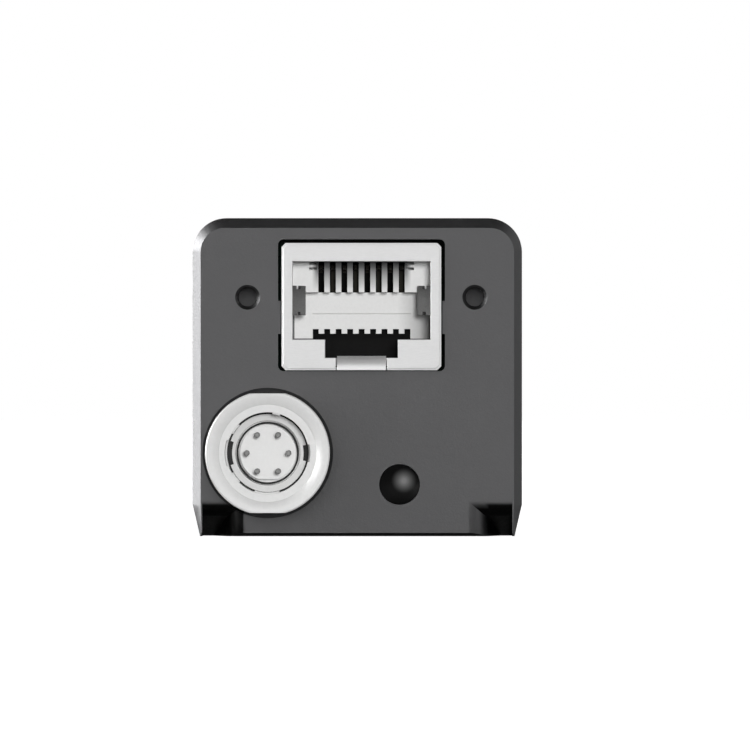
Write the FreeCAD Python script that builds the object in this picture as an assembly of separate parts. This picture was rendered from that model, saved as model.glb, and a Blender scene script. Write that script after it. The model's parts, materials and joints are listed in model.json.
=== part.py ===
"""Machine vision camera, seen from its connector side: GigE style, 29 mm class, C-mount lens thread.

Millimetres. +Z is up. The connector panel faces -Y and the lens mount faces +Y.
Every piece is built with the panel's outer face at y = 0 and the lens axis over x = 0, and is
shifted along Y when it is written, so that the origin is at the bottom centre of the whole camera.
"""
import FreeCAD
import Part
import math
import os

Vector = FreeCAD.Vector
Y_AXIS = Vector(0, 1, 0)
Z_AXIS = Vector(0, 0, 1)

# ---------------------------------------------------------------- driving dimensions
# Clearances and fits
SLIP_FIT = 0.05               # a turned piece in its seat
THREAD_FIT = 0.02             # a screw thread in its tapped hole, both drawn as plain cylinders
SCREW_CLEARANCE = 0.15        # a screw shank in a plain hole
BOARD_CLEARANCE = 0.3         # a board's edge to the wall beside it
PLASTIC_FIT = 0.08            # a moulding in the can around it

# Housing
HOUSING_WIDTH = 29.0
HOUSING_HEIGHT = 28.0
HOUSING_LENGTH = 42.0         # square body, connector panel to front face
FRONT_BLOCK_LENGTH = 9.0      # front housing, part of the length above
TOP_CORNER_RADIUS = 3.0
FOOT_TAPER_WIDTH = 0.65       # the flanks lean in towards the bottom face
FOOT_TAPER_HEIGHT = 2.8
SIDE_WALL = 1.3
TOP_WALL = 1.5
FLOOR_WALL = 1.8
PANEL_WALL = 2.2
FRONT_WALL = 2.8
PANEL_BEVEL_SIDE = 0.71       # bevel round the panel, as seen square on
PANEL_BEVEL_TOP = 0.87
PANEL_BEVEL_BOTTOM = 0.3
PANEL_BEVEL_FOOT = 0.16
PANEL_BEVEL_DEPTH = 0.8
FRONT_BEVEL = 0.6
JOINT_GROOVE = 0.25           # shadow groove round the joint of the two housings
JOINT_GROOVE_LENGTH = 0.5
LIP_LENGTH = 1.6              # front housing's lip inside the rear housing
LIP_WALL = 1.0

# Scooped pockets in the two bottom corners of the panel
POCKET_TOP = 3.1
POCKET_REACH = 4.75           # pocket's inner edge from the housing's side
POCKET_OUTER_LAND = 0.14      # flat left beside the panel's bevel
POCKET_TOP_LIP_RADIUS = 1.4
POCKET_SIDE_LIP_RADIUS = 1.8
POCKET_TOP_SLOPE = 15.0       # degrees off the camera's length
POCKET_SIDE_SLOPE = 11.0
POCKET_COVER = 1.1            # wall left behind a pocket

# Housing screws, one in each corner
HOUSING_SCREW_FROM_SIDE = 2.9
HOUSING_SCREW_FROM_TOP = 2.8  # and as far from the bottom face
HOUSING_SCREW_RADIUS = 1.0
HOUSING_SCREW_REACH = 6.0     # thread length in the rear housing
HOUSING_HEAD_RADIUS = 1.75
HOUSING_HEAD_HEIGHT = 1.8
HOUSING_HEAD_SINK = 0.15
HOUSING_HEAD_CLEARANCE = 0.12
CORNER_BOSS_MARGIN = 2.2      # boss edge to screw centre
CORNER_BOSS_LENGTH = 11.0
TAP_RUNOUT = 0.6
SEAL_WIDTH = 0.6              # flat seal in the joint of the two housings
SEAL_THICKNESS = 0.4

# Tapped mounting holes
M2_CORE_RADIUS = 0.8
M3_CORE_RADIUS = 1.25
TAP_CHAMFER = 0.3
PANEL_HOLE_SPACING = 20.0
PANEL_HOLE_CENTRE_X = 0.34
PANEL_HOLE_FROM_TOP = 6.97
PANEL_HOLE_DEPTH = 4.0
PANEL_BOSS_RADIUS = 1.9
PANEL_BOSS_COVER = 1.0
BASE_HOLE_SPACING_X = 22.0
BASE_HOLE_SPACING_Y = 12.0
BASE_HOLE_FIRST_Y = 12.5
BASE_HOLE_DEPTH = 3.4
BASE_BOSS_RADIUS = 2.3
BASE_BOSS_COVER = 1.2

# Lens mount: 1 in thread, 32 turns an inch, flange to sensor 17.526
FLANGE_FOCAL_DISTANCE = 17.526
LENS_MOUNT_LENGTH = 13.0      # housing face to flange
LENS_THREAD_RADIUS = 12.7
LENS_THREAD_LENGTH = 5.5
LENS_MOUNT_WALL = 1.1         # round the thread
LENS_RELIEF_STEP = 0.6        # bore behind the thread, smaller in radius by this
LENS_MOUNT_BEVEL = 0.4
LENS_GROOVE_DEPTH = 0.4       # grip groove round the barrel
LENS_GROOVE_WIDTH = 1.6
LENS_GROOVE_FROM_FLANGE = 4.0
SPIGOT_STEP = 1.9             # shoulder from the barrel down to the spigot
SPIGOT_LENGTH = 1.6
SPIGOT_WALL = 1.6             # spigot's outside to the filter's edge
SHIM_THICKNESS = 0.2
FILTER_THICKNESS = 1.0
FILTER_SEAT_FROM_FACE = 1.2   # filter seat in front of the housing's face
FILTER_SEAL_THICKNESS = 0.4
FILTER_SEAL_WALL = 1.2
FILTER_LEDGE = 1.8            # filter's edge to the clear aperture
RETAINER_LENGTH = 1.2
RETAINER_WALL = 1.4
RETAINER_SLOT_WIDTH = 1.2
RETAINER_SLOT_DEPTH = 0.5
SENSOR_APERTURE_RADIUS = 5.4

# Image sensor
PACKAGE_SIZE = 13.0
PACKAGE_BASE = 0.9
PACKAGE_RIM = 0.5             # package wall above the die's face
PACKAGE_WELL = 10.0
DIE_WIDTH = 7.4
DIE_HEIGHT = 5.8
DIE_THICKNESS = 0.6
COVER_GLASS_SIZE = 11.4
COVER_GLASS_THICKNESS = 0.6
SENSOR_GASKET_WALL = 1.4

# Boards and their stack
BOARD_THICKNESS = 1.4
SENSOR_BOARD_THICKNESS = 1.2
REAR_SPACER_LENGTH = 8.4
SPACER_RADIUS = 1.6
SPACER_TO_LIP = 0.1
STACK_SCREW_DROP = 2.8        # lower screws below the lens axis
STACK_SCREW_BOSS_GAP = 1.0    # upper spacers below the corner bosses
STACK_SCREW_RADIUS = 1.0
STACK_HEAD_RADIUS = 1.6
STACK_HEAD_HEIGHT = 1.2
STACK_SCREW_REACH = 2.4
STACK_BOSS_RADIUS = 2.0

# Network jack
JACK_CENTRE_X = 0.37
JACK_FROM_TOP = 2.19          # housing's top face to the jack's
JACK_WIDTH = 14.04
JACK_HEIGHT = 11.2
JACK_DEPTH = 16.0
JACK_PROUD = 0.5
JACK_SHEET = 0.3
JACK_EDGE_BEVEL = 0.35
JACK_GAP = 0.33               # shadow gap round the jack
JACK_CUTOUT_RADIUS = 0.5
JACK_GAP_PAD_DEPTH = 0.22     # pads on the cut-out's sides that centre the jack
JACK_GAP_PAD_HEIGHT = 2.9
JACK_GAP_PAD_RISE = 4.65      # pad's middle above the jack's bottom
PLUG_WIDTH = 12.16
PLUG_HEIGHT = 6.9
PLUG_SILL = 2.69              # plug opening above the jack's bottom
PLUG_DEPTH = 12.0
LATCH_WIDTH = 6.43
LATCH_HEIGHT = 1.61
JACK_BACK_WALL = 1.0          # light moulding's wall in front of the dark contact carrier
COMB_HEIGHT = 2.7
COMB_LENGTH = 4.0
CONTACT_COUNT = 8
CONTACT_PITCH = 1.016
CONTACT_SLOT_WIDTH = 0.52
CONTACT_WIDTH = 0.3
CONTACT_THICKNESS = 0.3
CONTACT_TIP_SINK = 0.6        # blade's tip and back under the slots' roof
CONTACT_TIP_SETBACK = 1.4     # blade's tip behind the comb's face
CONTACT_NOSE = 0.5
CONTACT_BLADE_TOP = 0.3
CONTACT_BEND = 0.4
TAIL_ROWS = (2.4, 4.2)        # below the jack's top
COMB_END_SLOT_LENGTH = 0.65
COMB_END_SLOT_HEIGHT = 0.25
TAIL_SLOT_HEIGHT = 0.55
TAIL_TOOTH_HEIGHT = 0.4
TAIL_TOOTH_OVERLAP = 0.02
CAVITY_LINE_HEIGHT = 0.1      # parting line across the cavity's back wall
CAVITY_LINE_DEPTH = 0.4
JACK_SPRING_HEIGHT = 2.6
JACK_SPRING_RISE = 6.15       # spring's middle above the jack's bottom
JACK_SPRING_REACH = 1.15
JACK_SPRING_START = 1.2
JACK_SPRING_LENGTH = 5.0
JACK_SPRING_SHEET = 0.2
JACK_SPRING_NOTCH = 0.3       # notch in each edge of the spring, half way along
JACK_SPRING_NOTCH_LENGTH = 1.3
TONGUE_WIDTH = 4.3
TONGUE_HEIGHT = 1.25
TONGUE_GAP = 0.12
SHELL_TAB_LENGTH = 1.9        # solder tabs and tails beyond the jack's back
SHELL_TAB_WIDTH = 1.2
TAIL_HOLE_CLEARANCE = 0.1

# Round six-pin power and trigger connector
ROUND_FROM_WALL = 5.32        # connector's axis to the side wall's inner face
ROUND_Z = 7.32
ROUND_PROUD = 4.0
ROUND_FLANGE_RADIUS = 5.48
ROUND_FLANGE_FLATS = 10.5
ROUND_FLANGE_EDGE = 0.12
ROUND_DISH_OUTER = 5.2
ROUND_DISH_INNER = 4.3
ROUND_DISH_DEPTH = 0.4
ROUND_LEDGE_DEPTH = 0.15
ROUND_BORE_RADIUS = 3.6
ROUND_BORE_PAST_FLOOR = 1.0
ROUND_SOCKET_DEPTH = 5.6
ROUND_NECK_RADIUS = 4.3
ROUND_NECK_LENGTH = 4.4       # threaded neck behind the panel's inner face
ROUND_TAIL_RADIUS = 3.9
ROUND_TAIL_LENGTH = 1.8
ROUND_SEAT_DEPTH = 1.2        # counterbore in the panel's face
ROUND_SEAT_GAP = 0.27
ROUND_SEAL_THICKNESS = 0.25
SLEEVE_OUTER = 3.44
SLEEVE_INNER = 2.86
SLEEVE_FACE_LENGTH = 1.0
SLEEVE_STEP = 0.3             # sleeve's flange down to its stem
SLEEVE_NOTCH_RADIUS = 3.15
SLEEVE_NOTCH_DEPTH = 0.6
INSERT_RADIUS = 2.45
INSERT_FLATS = 4.6
INSERT_RISE = 0.3             # insulator's face in front of the sleeve's
INSERT_LENGTH = 7.0
INSERT_FACE_LENGTH = 1.5      # slim face, behind the sleeve's face
ROUND_PIN_COUNT = 6
ROUND_PIN_CIRCLE = 1.84
ROUND_PIN_RADIUS = 0.25
ROUND_PIN_RISE = 3.6
ROUND_KEY_REACH = 0.14
ROUND_KEYS = ((77.5, 5.5), (143.0, 8.0), (217.5, 8.5), (269.0, 18.0))   # angle, half width
ROUND_NOTCHES = ((0.0, 12.0), (180.0, 18.0))
ROUND_KEY_END_GAP = 0.1
ROUND_RELIEF = 0.16
NUT_RADIUS = 5.05
NUT_THICKNESS = 2.0
NUT_SLOT_WIDTH = 1.4
NUT_SLOT_DEPTH = 0.5

# Indicator
INDICATOR_X = 3.72
INDICATOR_Z = 4.56
INDICATOR_RADIUS = 1.75
INDICATOR_DISH_DEPTH = 0.55
INDICATOR_SINK = 0.1
LAMP_SIZE = 2.8
LAMP_HEIGHT = 1.8
LAMP_GAP = 0.3

# Parts on the boards
PROCESSOR_SIZE = 12.0
PROCESSOR_HEIGHT = 1.5
THERMAL_PAD_HEIGHT = 0.8
SPREADER_THICKNESS = 1.2
SPREADER_WIDTH = 13.0
SPREADER_BOTTOM = 9.4
SPREADER_LEG = 5.0
MEMORY_WIDTH = 8.0
MEMORY_HEIGHT = 5.2
MEMORY_GAP = 1.12             # between the two memory chips
NETWORK_CHIP_SIZE = 6.0
NETWORK_CHIP_DROP = 1.2       # below the lens axis
CHIP_THICKNESS = 1.0
LINK_WIDTH = 12.0
LINK_HEIGHT = 3.4
LINK_X = 2.5
LINK_Z = 5.6
LINK_SOCKET_SHARE = 0.55      # socket's share of the gap between two boards
MAGNETICS_WIDTH = 9.6
MAGNETICS_DEPTH = 5.8
MAGNETICS_X = 3.6
MAGNETICS_LAMP_GAP = 1.64
MAGNETICS_JACK_GAP = 0.81
INDUCTOR_SIZE = 3.6
INDUCTOR_HEIGHT = 2.0
INDUCTOR_SHIFT = 1.4          # inwards from the round connector's axis
INDUCTOR_PIN_GAP = 2.2        # above the pins' circle
CAPACITOR_LENGTH = 2.0
CAPACITOR_WIDTH = 1.2
CAPACITOR_HEIGHT = 1.1
CAPACITOR_COUNT = 4
CAPACITOR_DROP = 3.6          # below the lens axis
CRYSTAL_LENGTH = 2.6
CRYSTAL_WIDTH = 2.0
CRYSTAL_HEIGHT = 0.8
CRYSTAL_GAP = 0.8             # above the memory chips

# ---------------------------------------------------------------- places worked out from the sizes
HALF_WIDTH = HOUSING_WIDTH / 2
AXIS_Z = HOUSING_HEIGHT / 2
SPLIT_Y = HOUSING_LENGTH - FRONT_BLOCK_LENGTH
FLANGE_Y = HOUSING_LENGTH + LENS_MOUNT_LENGTH
SENSOR_Y = FLANGE_Y - FLANGE_FOCAL_DISTANCE
FRONT_WALL_Y = HOUSING_LENGTH - FRONT_WALL
CAVITY_X = HALF_WIDTH - SIDE_WALL
CAVITY_TOP = HOUSING_HEIGHT - TOP_WALL

PACKAGE_BACK_Y = SENSOR_Y - DIE_THICKNESS - PACKAGE_BASE
PACKAGE_FRONT_Y = SENSOR_Y + PACKAGE_RIM
GLASS_FRONT_Y = PACKAGE_FRONT_Y + COVER_GLASS_THICKNESS
SENSOR_BOARD_Y = PACKAGE_BACK_Y - SENSOR_BOARD_THICKNESS

INTERFACE_Y = JACK_DEPTH - JACK_PROUD
PROCESSOR_Y = INTERFACE_Y + BOARD_THICKNESS + REAR_SPACER_LENGTH
FRONT_SPACER_Y = PROCESSOR_Y + BOARD_THICKNESS

HOUSING_SCREW_X = HALF_WIDTH - HOUSING_SCREW_FROM_SIDE
HOUSING_SCREW_RISE = AXIS_Z - HOUSING_SCREW_FROM_TOP
POCKET_INNER_X = HALF_WIDTH - POCKET_REACH
PANEL_HOLE_Z = HOUSING_HEIGHT - PANEL_HOLE_FROM_TOP

LENS_MOUNT_RADIUS = LENS_THREAD_RADIUS + LENS_MOUNT_WALL
LENS_RELIEF_RADIUS = LENS_THREAD_RADIUS - LENS_RELIEF_STEP
SPIGOT_RADIUS = LENS_MOUNT_RADIUS - SPIGOT_STEP
FILTER_RADIUS = SPIGOT_RADIUS - SPIGOT_WALL
FILTER_BORE = FILTER_RADIUS + SLIP_FIT
FILTER_APERTURE_RADIUS = FILTER_RADIUS - FILTER_LEDGE
FILTER_SEAT_Y = HOUSING_LENGTH + FILTER_SEAT_FROM_FACE
FILTER_Y = FILTER_SEAT_Y + FILTER_SEAL_THICKNESS
RETAINER_Y = FILTER_Y + FILTER_THICKNESS

JACK_FRONT_Y = -JACK_PROUD
JACK_LEFT = JACK_CENTRE_X - JACK_WIDTH / 2
JACK_RIGHT = JACK_CENTRE_X + JACK_WIDTH / 2
JACK_TOP = HOUSING_HEIGHT - JACK_FROM_TOP
JACK_BOTTOM_Z = JACK_TOP - JACK_HEIGHT
JACK_TAB_Z = JACK_BOTTOM_Z + JACK_HEIGHT / 3
PLUG_BOTTOM = JACK_BOTTOM_Z + PLUG_SILL
PLUG_TOP = PLUG_BOTTOM + PLUG_HEIGHT
PLUG_BACK_Y = JACK_FRONT_Y + PLUG_DEPTH
CARRIER_Y = PLUG_BACK_Y + JACK_BACK_WALL
SLOT_BACK_Y = PLUG_BACK_Y + COMB_LENGTH / 2

ROUND_X = ROUND_FROM_WALL - CAVITY_X
ROUND_FRONT_Y = -ROUND_PROUD
ROUND_SHOULDER_Y = ROUND_SEAT_DEPTH - ROUND_SEAL_THICKNESS
SOCKET_FLOOR_Y = ROUND_FRONT_Y + ROUND_SOCKET_DEPTH
NECK_END_Y = PANEL_WALL + ROUND_NECK_LENGTH
TAIL_END_Y = NECK_END_Y + ROUND_TAIL_LENGTH
SLEEVE_STEM = SLEEVE_OUTER - SLEEVE_STEP

STACK_SCREW_X = CAVITY_X - SLIP_FIT - LIP_WALL - SPACER_TO_LIP - SPACER_RADIUS
BOSS_X = HOUSING_SCREW_X - CORNER_BOSS_MARGIN
BOSS_LOW_Z = AXIS_Z - HOUSING_SCREW_RISE + CORNER_BOSS_MARGIN
BOSS_HIGH_Z = AXIS_Z + HOUSING_SCREW_RISE - CORNER_BOSS_MARGIN
STACK_SCREW_Z = (AXIS_Z - STACK_SCREW_DROP, BOSS_HIGH_Z - STACK_SCREW_BOSS_GAP - SPACER_RADIUS)
MEMORY_Z = sum(STACK_SCREW_Z) / 2
MAGNETICS_BOTTOM = INDICATOR_Z + LAMP_SIZE / 2 + MAGNETICS_LAMP_GAP
MAGNETICS_TOP = JACK_BOTTOM_Z - MAGNETICS_JACK_GAP
MIDDLE_Y = (FLANGE_Y + ROUND_FRONT_Y) / 2


# ---------------------------------------------------------------- helpers
def box(x0, x1, y0, y1, z0, z1):
    return Part.makeBox(x1 - x0, y1 - y0, z1 - z0, Vector(x0, y0, z0))


def centred_box(x, z, width, height, y0, y1):
    return box(x - width / 2, x + width / 2, y0, y1, z - height / 2, z + height / 2)


def rod(x, z, radius, y0, y1):
    return Part.makeCylinder(radius, y1 - y0, Vector(x, y0, z), Y_AXIS)


def tube(x, z, outer, inner, y0, y1):
    return rod(x, z, outer, y0, y1).cut(rod(x, z, inner, y0 - 1, y1 + 1))


def cone(x, z, radius0, radius1, y0, y1):
    return Part.makeCone(radius0, radius1, y1 - y0, Vector(x, y0, z), Y_AXIS)


def upright(x, y, radius, z0, z1):
    return Part.makeCylinder(radius, z1 - z0, Vector(x, y, z0), Z_AXIS)


def prism(points, direction):
    """Closed straight-sided outline pushed along a direction."""
    return Part.Face(Part.makePolygon(points + [points[0]])).extrude(direction)


def join(shapes):
    if len(shapes) == 1:
        return shapes[0]
    return shapes[0].multiFuse(shapes[1:]).removeSplitter()


def remove(shape, tools):
    for tool in tools:
        shape = shape.cut(tool)
    return shape


def sector(x, z, outer, inner, y0, y1, angle, half_width):
    """Part of a ring round the Y axis; the angle runs from +X towards +Z."""
    ring = Part.makeCylinder(outer, y1 - y0, Vector(x, y1, z), Vector(0, -1, 0), 2 * half_width)
    core = Part.makeCylinder(inner, y1 - y0, Vector(x, y1, z), Vector(0, -1, 0), 360)
    start = ring.CenterOfMass - Vector(x, (y0 + y1) / 2, z)
    now = math.degrees(math.atan2(start.z, start.x))
    ring.rotate(Vector(x, 0, z), Vector(0, -1, 0), angle - now)
    return ring.cut(core)


def write(name, shapes):
    """Write one node: a solid, or a group of separate solids that are alike."""
    moved = [shape.translated(Vector(0, -MIDDLE_Y, 0)) for shape in shapes]
    solids = [solid for shape in moved for solid in shape.Solids]
    result = solids[0] if len(solids) == 1 else Part.makeCompound(solids)
    result.exportStep("parts/" + name + ".step")
    print(name, len(solids), "solids", round(result.Volume, 2), result.isValid())


def corner_places():
    return [(side * HOUSING_SCREW_X, AXIS_Z + rise * HOUSING_SCREW_RISE)
            for side in (-1, 1) for rise in (-1, 1)]


def stack_places():
    return [(side * STACK_SCREW_X, z) for side in (-1, 1) for z in STACK_SCREW_Z]


def contact_places():
    first = JACK_CENTRE_X - (CONTACT_COUNT - 1) / 2 * CONTACT_PITCH
    return [first + index * CONTACT_PITCH for index in range(CONTACT_COUNT)]


def round_pin_places():
    places = []
    for index in range(ROUND_PIN_COUNT):
        turn = math.radians(index * 360 / ROUND_PIN_COUNT)
        places.append((ROUND_X + ROUND_PIN_CIRCLE * math.cos(turn),
                       ROUND_Z + ROUND_PIN_CIRCLE * math.sin(turn)))
    return places


# ---------------------------------------------------------------- housings
def outline(y, inset_side, inset_top, inset_bottom, inset_foot):
    """The housing's section: square feet, flanks leaning in below, rounded top corners."""
    half = HALF_WIDTH - inset_side
    foot = HALF_WIDTH - FOOT_TAPER_WIDTH - inset_foot
    top = HOUSING_HEIGHT - inset_top
    radius = TOP_CORNER_RADIUS - max(inset_side, inset_top)
    bend = radius * (1 - math.cos(math.pi / 4))
    low_left = Vector(-foot, y, inset_bottom)
    low_right = Vector(foot, y, inset_bottom)
    knee_right = Vector(half, y, FOOT_TAPER_HEIGHT)
    knee_left = Vector(-half, y, FOOT_TAPER_HEIGHT)
    right_low = Vector(half, y, top - radius)
    right_high = Vector(half - radius, y, top)
    left_high = Vector(-half + radius, y, top)
    left_low = Vector(-half, y, top - radius)
    edges = [
        Part.makeLine(low_left, low_right),
        Part.makeLine(low_right, knee_right),
        Part.makeLine(knee_right, right_low),
        Part.Arc(right_low, Vector(half - bend, y, top - bend), right_high).toShape(),
        Part.makeLine(right_high, left_high),
        Part.Arc(left_high, Vector(-half + bend, y, top - bend), left_low).toShape(),
        Part.makeLine(left_low, knee_left),
        Part.makeLine(knee_left, low_left),
    ]
    return Part.Wire(edges)


def body_length(y0, y1):
    return Part.Face(outline(y0, 0, 0, 0, 0)).extrude(Vector(0, y1 - y0, 0))


def bevelled_end(outer_y, full_y, side, top, bottom, foot):
    end = outline(outer_y, side, top, bottom, foot)
    return Part.makeLoft([end, outline(full_y, 0, 0, 0, 0)], True, True)


def cavity(y0, y1):
    return box(-CAVITY_X, CAVITY_X, y0, y1, FLOOR_WALL, CAVITY_TOP)


def corner_blocks(y0, y1):
    blocks = []
    for side in (-1, 1):
        near = side * BOSS_X
        far = side * (CAVITY_X + SIDE_WALL / 2)
        left, right = min(near, far), max(near, far)
        blocks.append(box(left, right, y0, y1, FLOOR_WALL / 2, BOSS_LOW_Z))
        blocks.append(box(left, right, y0, y1, BOSS_HIGH_Z, CAVITY_TOP + TOP_WALL / 2))
    return [block.common(body_length(y0, y1)) for block in blocks]


def joint_groove(y0, y1):
    inner = Part.Face(outline(y0, JOINT_GROOVE, JOINT_GROOVE, JOINT_GROOVE, JOINT_GROOVE))
    return body_length(y0, y1).cut(inner.extrude(Vector(0, y1 - y0, 0)))


def pocket_profile(start, lip, slope, depth):
    """Wall of a pocket: a rounded lip from the panel's face, then a steep straight run."""
    tilt = math.radians(slope)
    steps = [(start, 0.0)]
    middle = (math.pi / 2 - tilt) / 2
    steps.append((lip * math.sin(middle) + start, lip * (1 - math.cos(middle))))
    end = (start + lip * math.cos(tilt), lip * (1 - math.sin(tilt)))
    steps.append(end)
    steps.append((end[0] + (depth - end[1]) * math.tan(tilt), depth))
    return steps


def pocket_depth():
    tilt = math.radians(POCKET_TOP_SLOPE)
    lip_end = POCKET_TOP_LIP_RADIUS * (1 - math.sin(tilt))
    return lip_end + (POCKET_TOP - POCKET_TOP_LIP_RADIUS * math.cos(tilt)) / math.tan(tilt)


def pocket_prism(steps, place, far, push):
    points = [place(offset, depth) for offset, depth in steps]
    edges = [
        Part.Arc(points[0], points[1], points[2]).toShape(),
        Part.makeLine(points[2], points[3]),
        Part.makeLine(points[3], place(far, steps[3][1])),
        Part.makeLine(place(far, steps[3][1]), place(far, 0)),
        Part.makeLine(place(far, 0), points[0]),
    ]
    return Part.Face(Part.Wire(edges)).extrude(push)


def pocket(side):
    depth = pocket_depth() + 1
    outer = HALF_WIDTH - PANEL_BEVEL_SIDE - POCKET_OUTER_LAND
    ceiling = pocket_profile(0, POCKET_TOP_LIP_RADIUS, POCKET_TOP_SLOPE, depth)
    flank = pocket_profile(0, POCKET_SIDE_LIP_RADIUS, POCKET_SIDE_SLOPE, depth)

    def ceiling_place(offset, y):
        return Vector(0, y, POCKET_TOP - offset)

    def flank_place(offset, y):
        return Vector(side * (POCKET_INNER_X + offset), y, -1)

    lowest = ceiling[3][0] + 1
    roof = pocket_prism(ceiling, ceiling_place, lowest, Vector(side * outer, 0, 0))
    wall = pocket_prism(flank, flank_place, outer - POCKET_INNER_X, Vector(0, 0, POCKET_TOP + 2))
    return roof.common(wall)


def pocket_cover(side):
    """Thicker floor inside, over the pocket."""
    near = side * (POCKET_INNER_X + POCKET_SIDE_LIP_RADIUS - POCKET_COVER / 2)
    far = side * (CAVITY_X + SIDE_WALL / 2)
    roof = POCKET_TOP - POCKET_TOP_LIP_RADIUS + POCKET_COVER
    return box(min(near, far), max(near, far), PANEL_WALL / 2, pocket_depth() + POCKET_COVER,
               FLOOR_WALL / 2, roof)


def tapped_hole(x, z, radius, depth):
    """Blind hole in the panel with a chamfered mouth."""
    mouth = cone(x, z, radius + TAP_CHAMFER, radius, 0, TAP_CHAMFER)
    return rod(x, z, radius, -1, depth).fuse(mouth)


def base_hole(x, y):
    mouth = Part.makeCone(M3_CORE_RADIUS + TAP_CHAMFER, M3_CORE_RADIUS, TAP_CHAMFER,
                          Vector(x, y, 0), Z_AXIS)
    return upright(x, y, M3_CORE_RADIUS, -1, BASE_HOLE_DEPTH).fuse(mouth)


def jack_cutout():
    left = JACK_LEFT - JACK_GAP
    right = JACK_RIGHT + JACK_GAP
    low = JACK_BOTTOM_Z - JACK_GAP / 4
    high = JACK_TOP + JACK_GAP
    block = box(left, right, -1, PANEL_WALL + 1, low, high)
    upright_edges = [edge for edge in block.Edges
                     if abs(edge.Vertexes[0].Y - edge.Vertexes[1].Y) > PANEL_WALL]
    block = block.makeFillet(JACK_CUTOUT_RADIUS, upright_edges)
    middle = JACK_BOTTOM_Z + JACK_GAP_PAD_RISE
    for x in (left, right):
        block = block.cut(centred_box(x, middle, 2 * JACK_GAP_PAD_DEPTH, JACK_GAP_PAD_HEIGHT,
                                      -2, PANEL_WALL + 2))
    return block


def panel_hole_places():
    return [(PANEL_HOLE_CENTRE_X + side * PANEL_HOLE_SPACING / 2, PANEL_HOLE_Z) for side in (-1, 1)]


def base_hole_places():
    return [(side * BASE_HOLE_SPACING_X / 2, BASE_HOLE_FIRST_Y + row * BASE_HOLE_SPACING_Y)
            for side in (-1, 1) for row in (0, 1)]


def rear_housing():
    boss_start = SPLIT_Y - CORNER_BOSS_LENGTH
    shell = body_length(PANEL_BEVEL_DEPTH, SPLIT_Y)
    panel = bevelled_end(0, PANEL_BEVEL_DEPTH, PANEL_BEVEL_SIDE, PANEL_BEVEL_TOP,
                         PANEL_BEVEL_BOTTOM, PANEL_BEVEL_FOOT)
    shell = shell.fuse(panel).cut(cavity(PANEL_WALL, SPLIT_Y + 1))
    added = corner_blocks(boss_start, SPLIT_Y)
    added += [pocket_cover(side) for side in (-1, 1)]
    for x, z in panel_hole_places():
        added.append(rod(x, z, PANEL_BOSS_RADIUS, PANEL_WALL / 2, PANEL_HOLE_DEPTH + PANEL_BOSS_COVER))
    for x, y in base_hole_places():
        if y + BASE_BOSS_RADIUS < boss_start:
            boss = upright(x, y, BASE_BOSS_RADIUS, FLOOR_WALL / 2, BASE_HOLE_DEPTH + BASE_BOSS_COVER)
            added.append(boss.common(body_length(0, SPLIT_Y)))
    shell = join([shell] + added)
    lip_seat = cavity(SPLIT_Y - LIP_LENGTH - SLIP_FIT, SPLIT_Y + 1)
    tools = [pocket(side) for side in (-1, 1)]
    tools.append(jack_cutout())
    tools.append(rod(ROUND_X, ROUND_Z, ROUND_FLANGE_RADIUS + ROUND_SEAT_GAP, -1, ROUND_SEAT_DEPTH))
    tools.append(rod(ROUND_X, ROUND_Z, ROUND_NECK_RADIUS + SLIP_FIT, 0, PANEL_WALL + 1))
    tools.append(rod(INDICATOR_X, INDICATOR_Z, INDICATOR_RADIUS + SLIP_FIT, -1, PANEL_WALL + 1))
    tools += [tapped_hole(x, z, M2_CORE_RADIUS, PANEL_HOLE_DEPTH) for x, z in panel_hole_places()]
    tools += [base_hole(x, y) for x, y in base_hole_places()]
    tools.append(lip_seat)
    for x, z in corner_places():
        tools.append(rod(x, z, HOUSING_SCREW_RADIUS + THREAD_FIT,
                         SPLIT_Y - LIP_LENGTH - HOUSING_SCREW_REACH - TAP_RUNOUT, SPLIT_Y + 1))
    tools.append(joint_groove(SPLIT_Y - JOINT_GROOVE_LENGTH / 2, SPLIT_Y))
    return remove(shell, tools)


def cavity_ring(grow, wall, y0, y1):
    """Rectangular ring that follows the cavity's section, grown outwards by a margin."""
    outer = box(-CAVITY_X - grow, CAVITY_X + grow, y0, y1, FLOOR_WALL - grow, CAVITY_TOP + grow)
    edge = grow - wall
    inner = box(-CAVITY_X - edge, CAVITY_X + edge, y0 - 1, y1 + 1, FLOOR_WALL - edge,
                CAVITY_TOP + edge)
    return outer.cut(inner)


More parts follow.
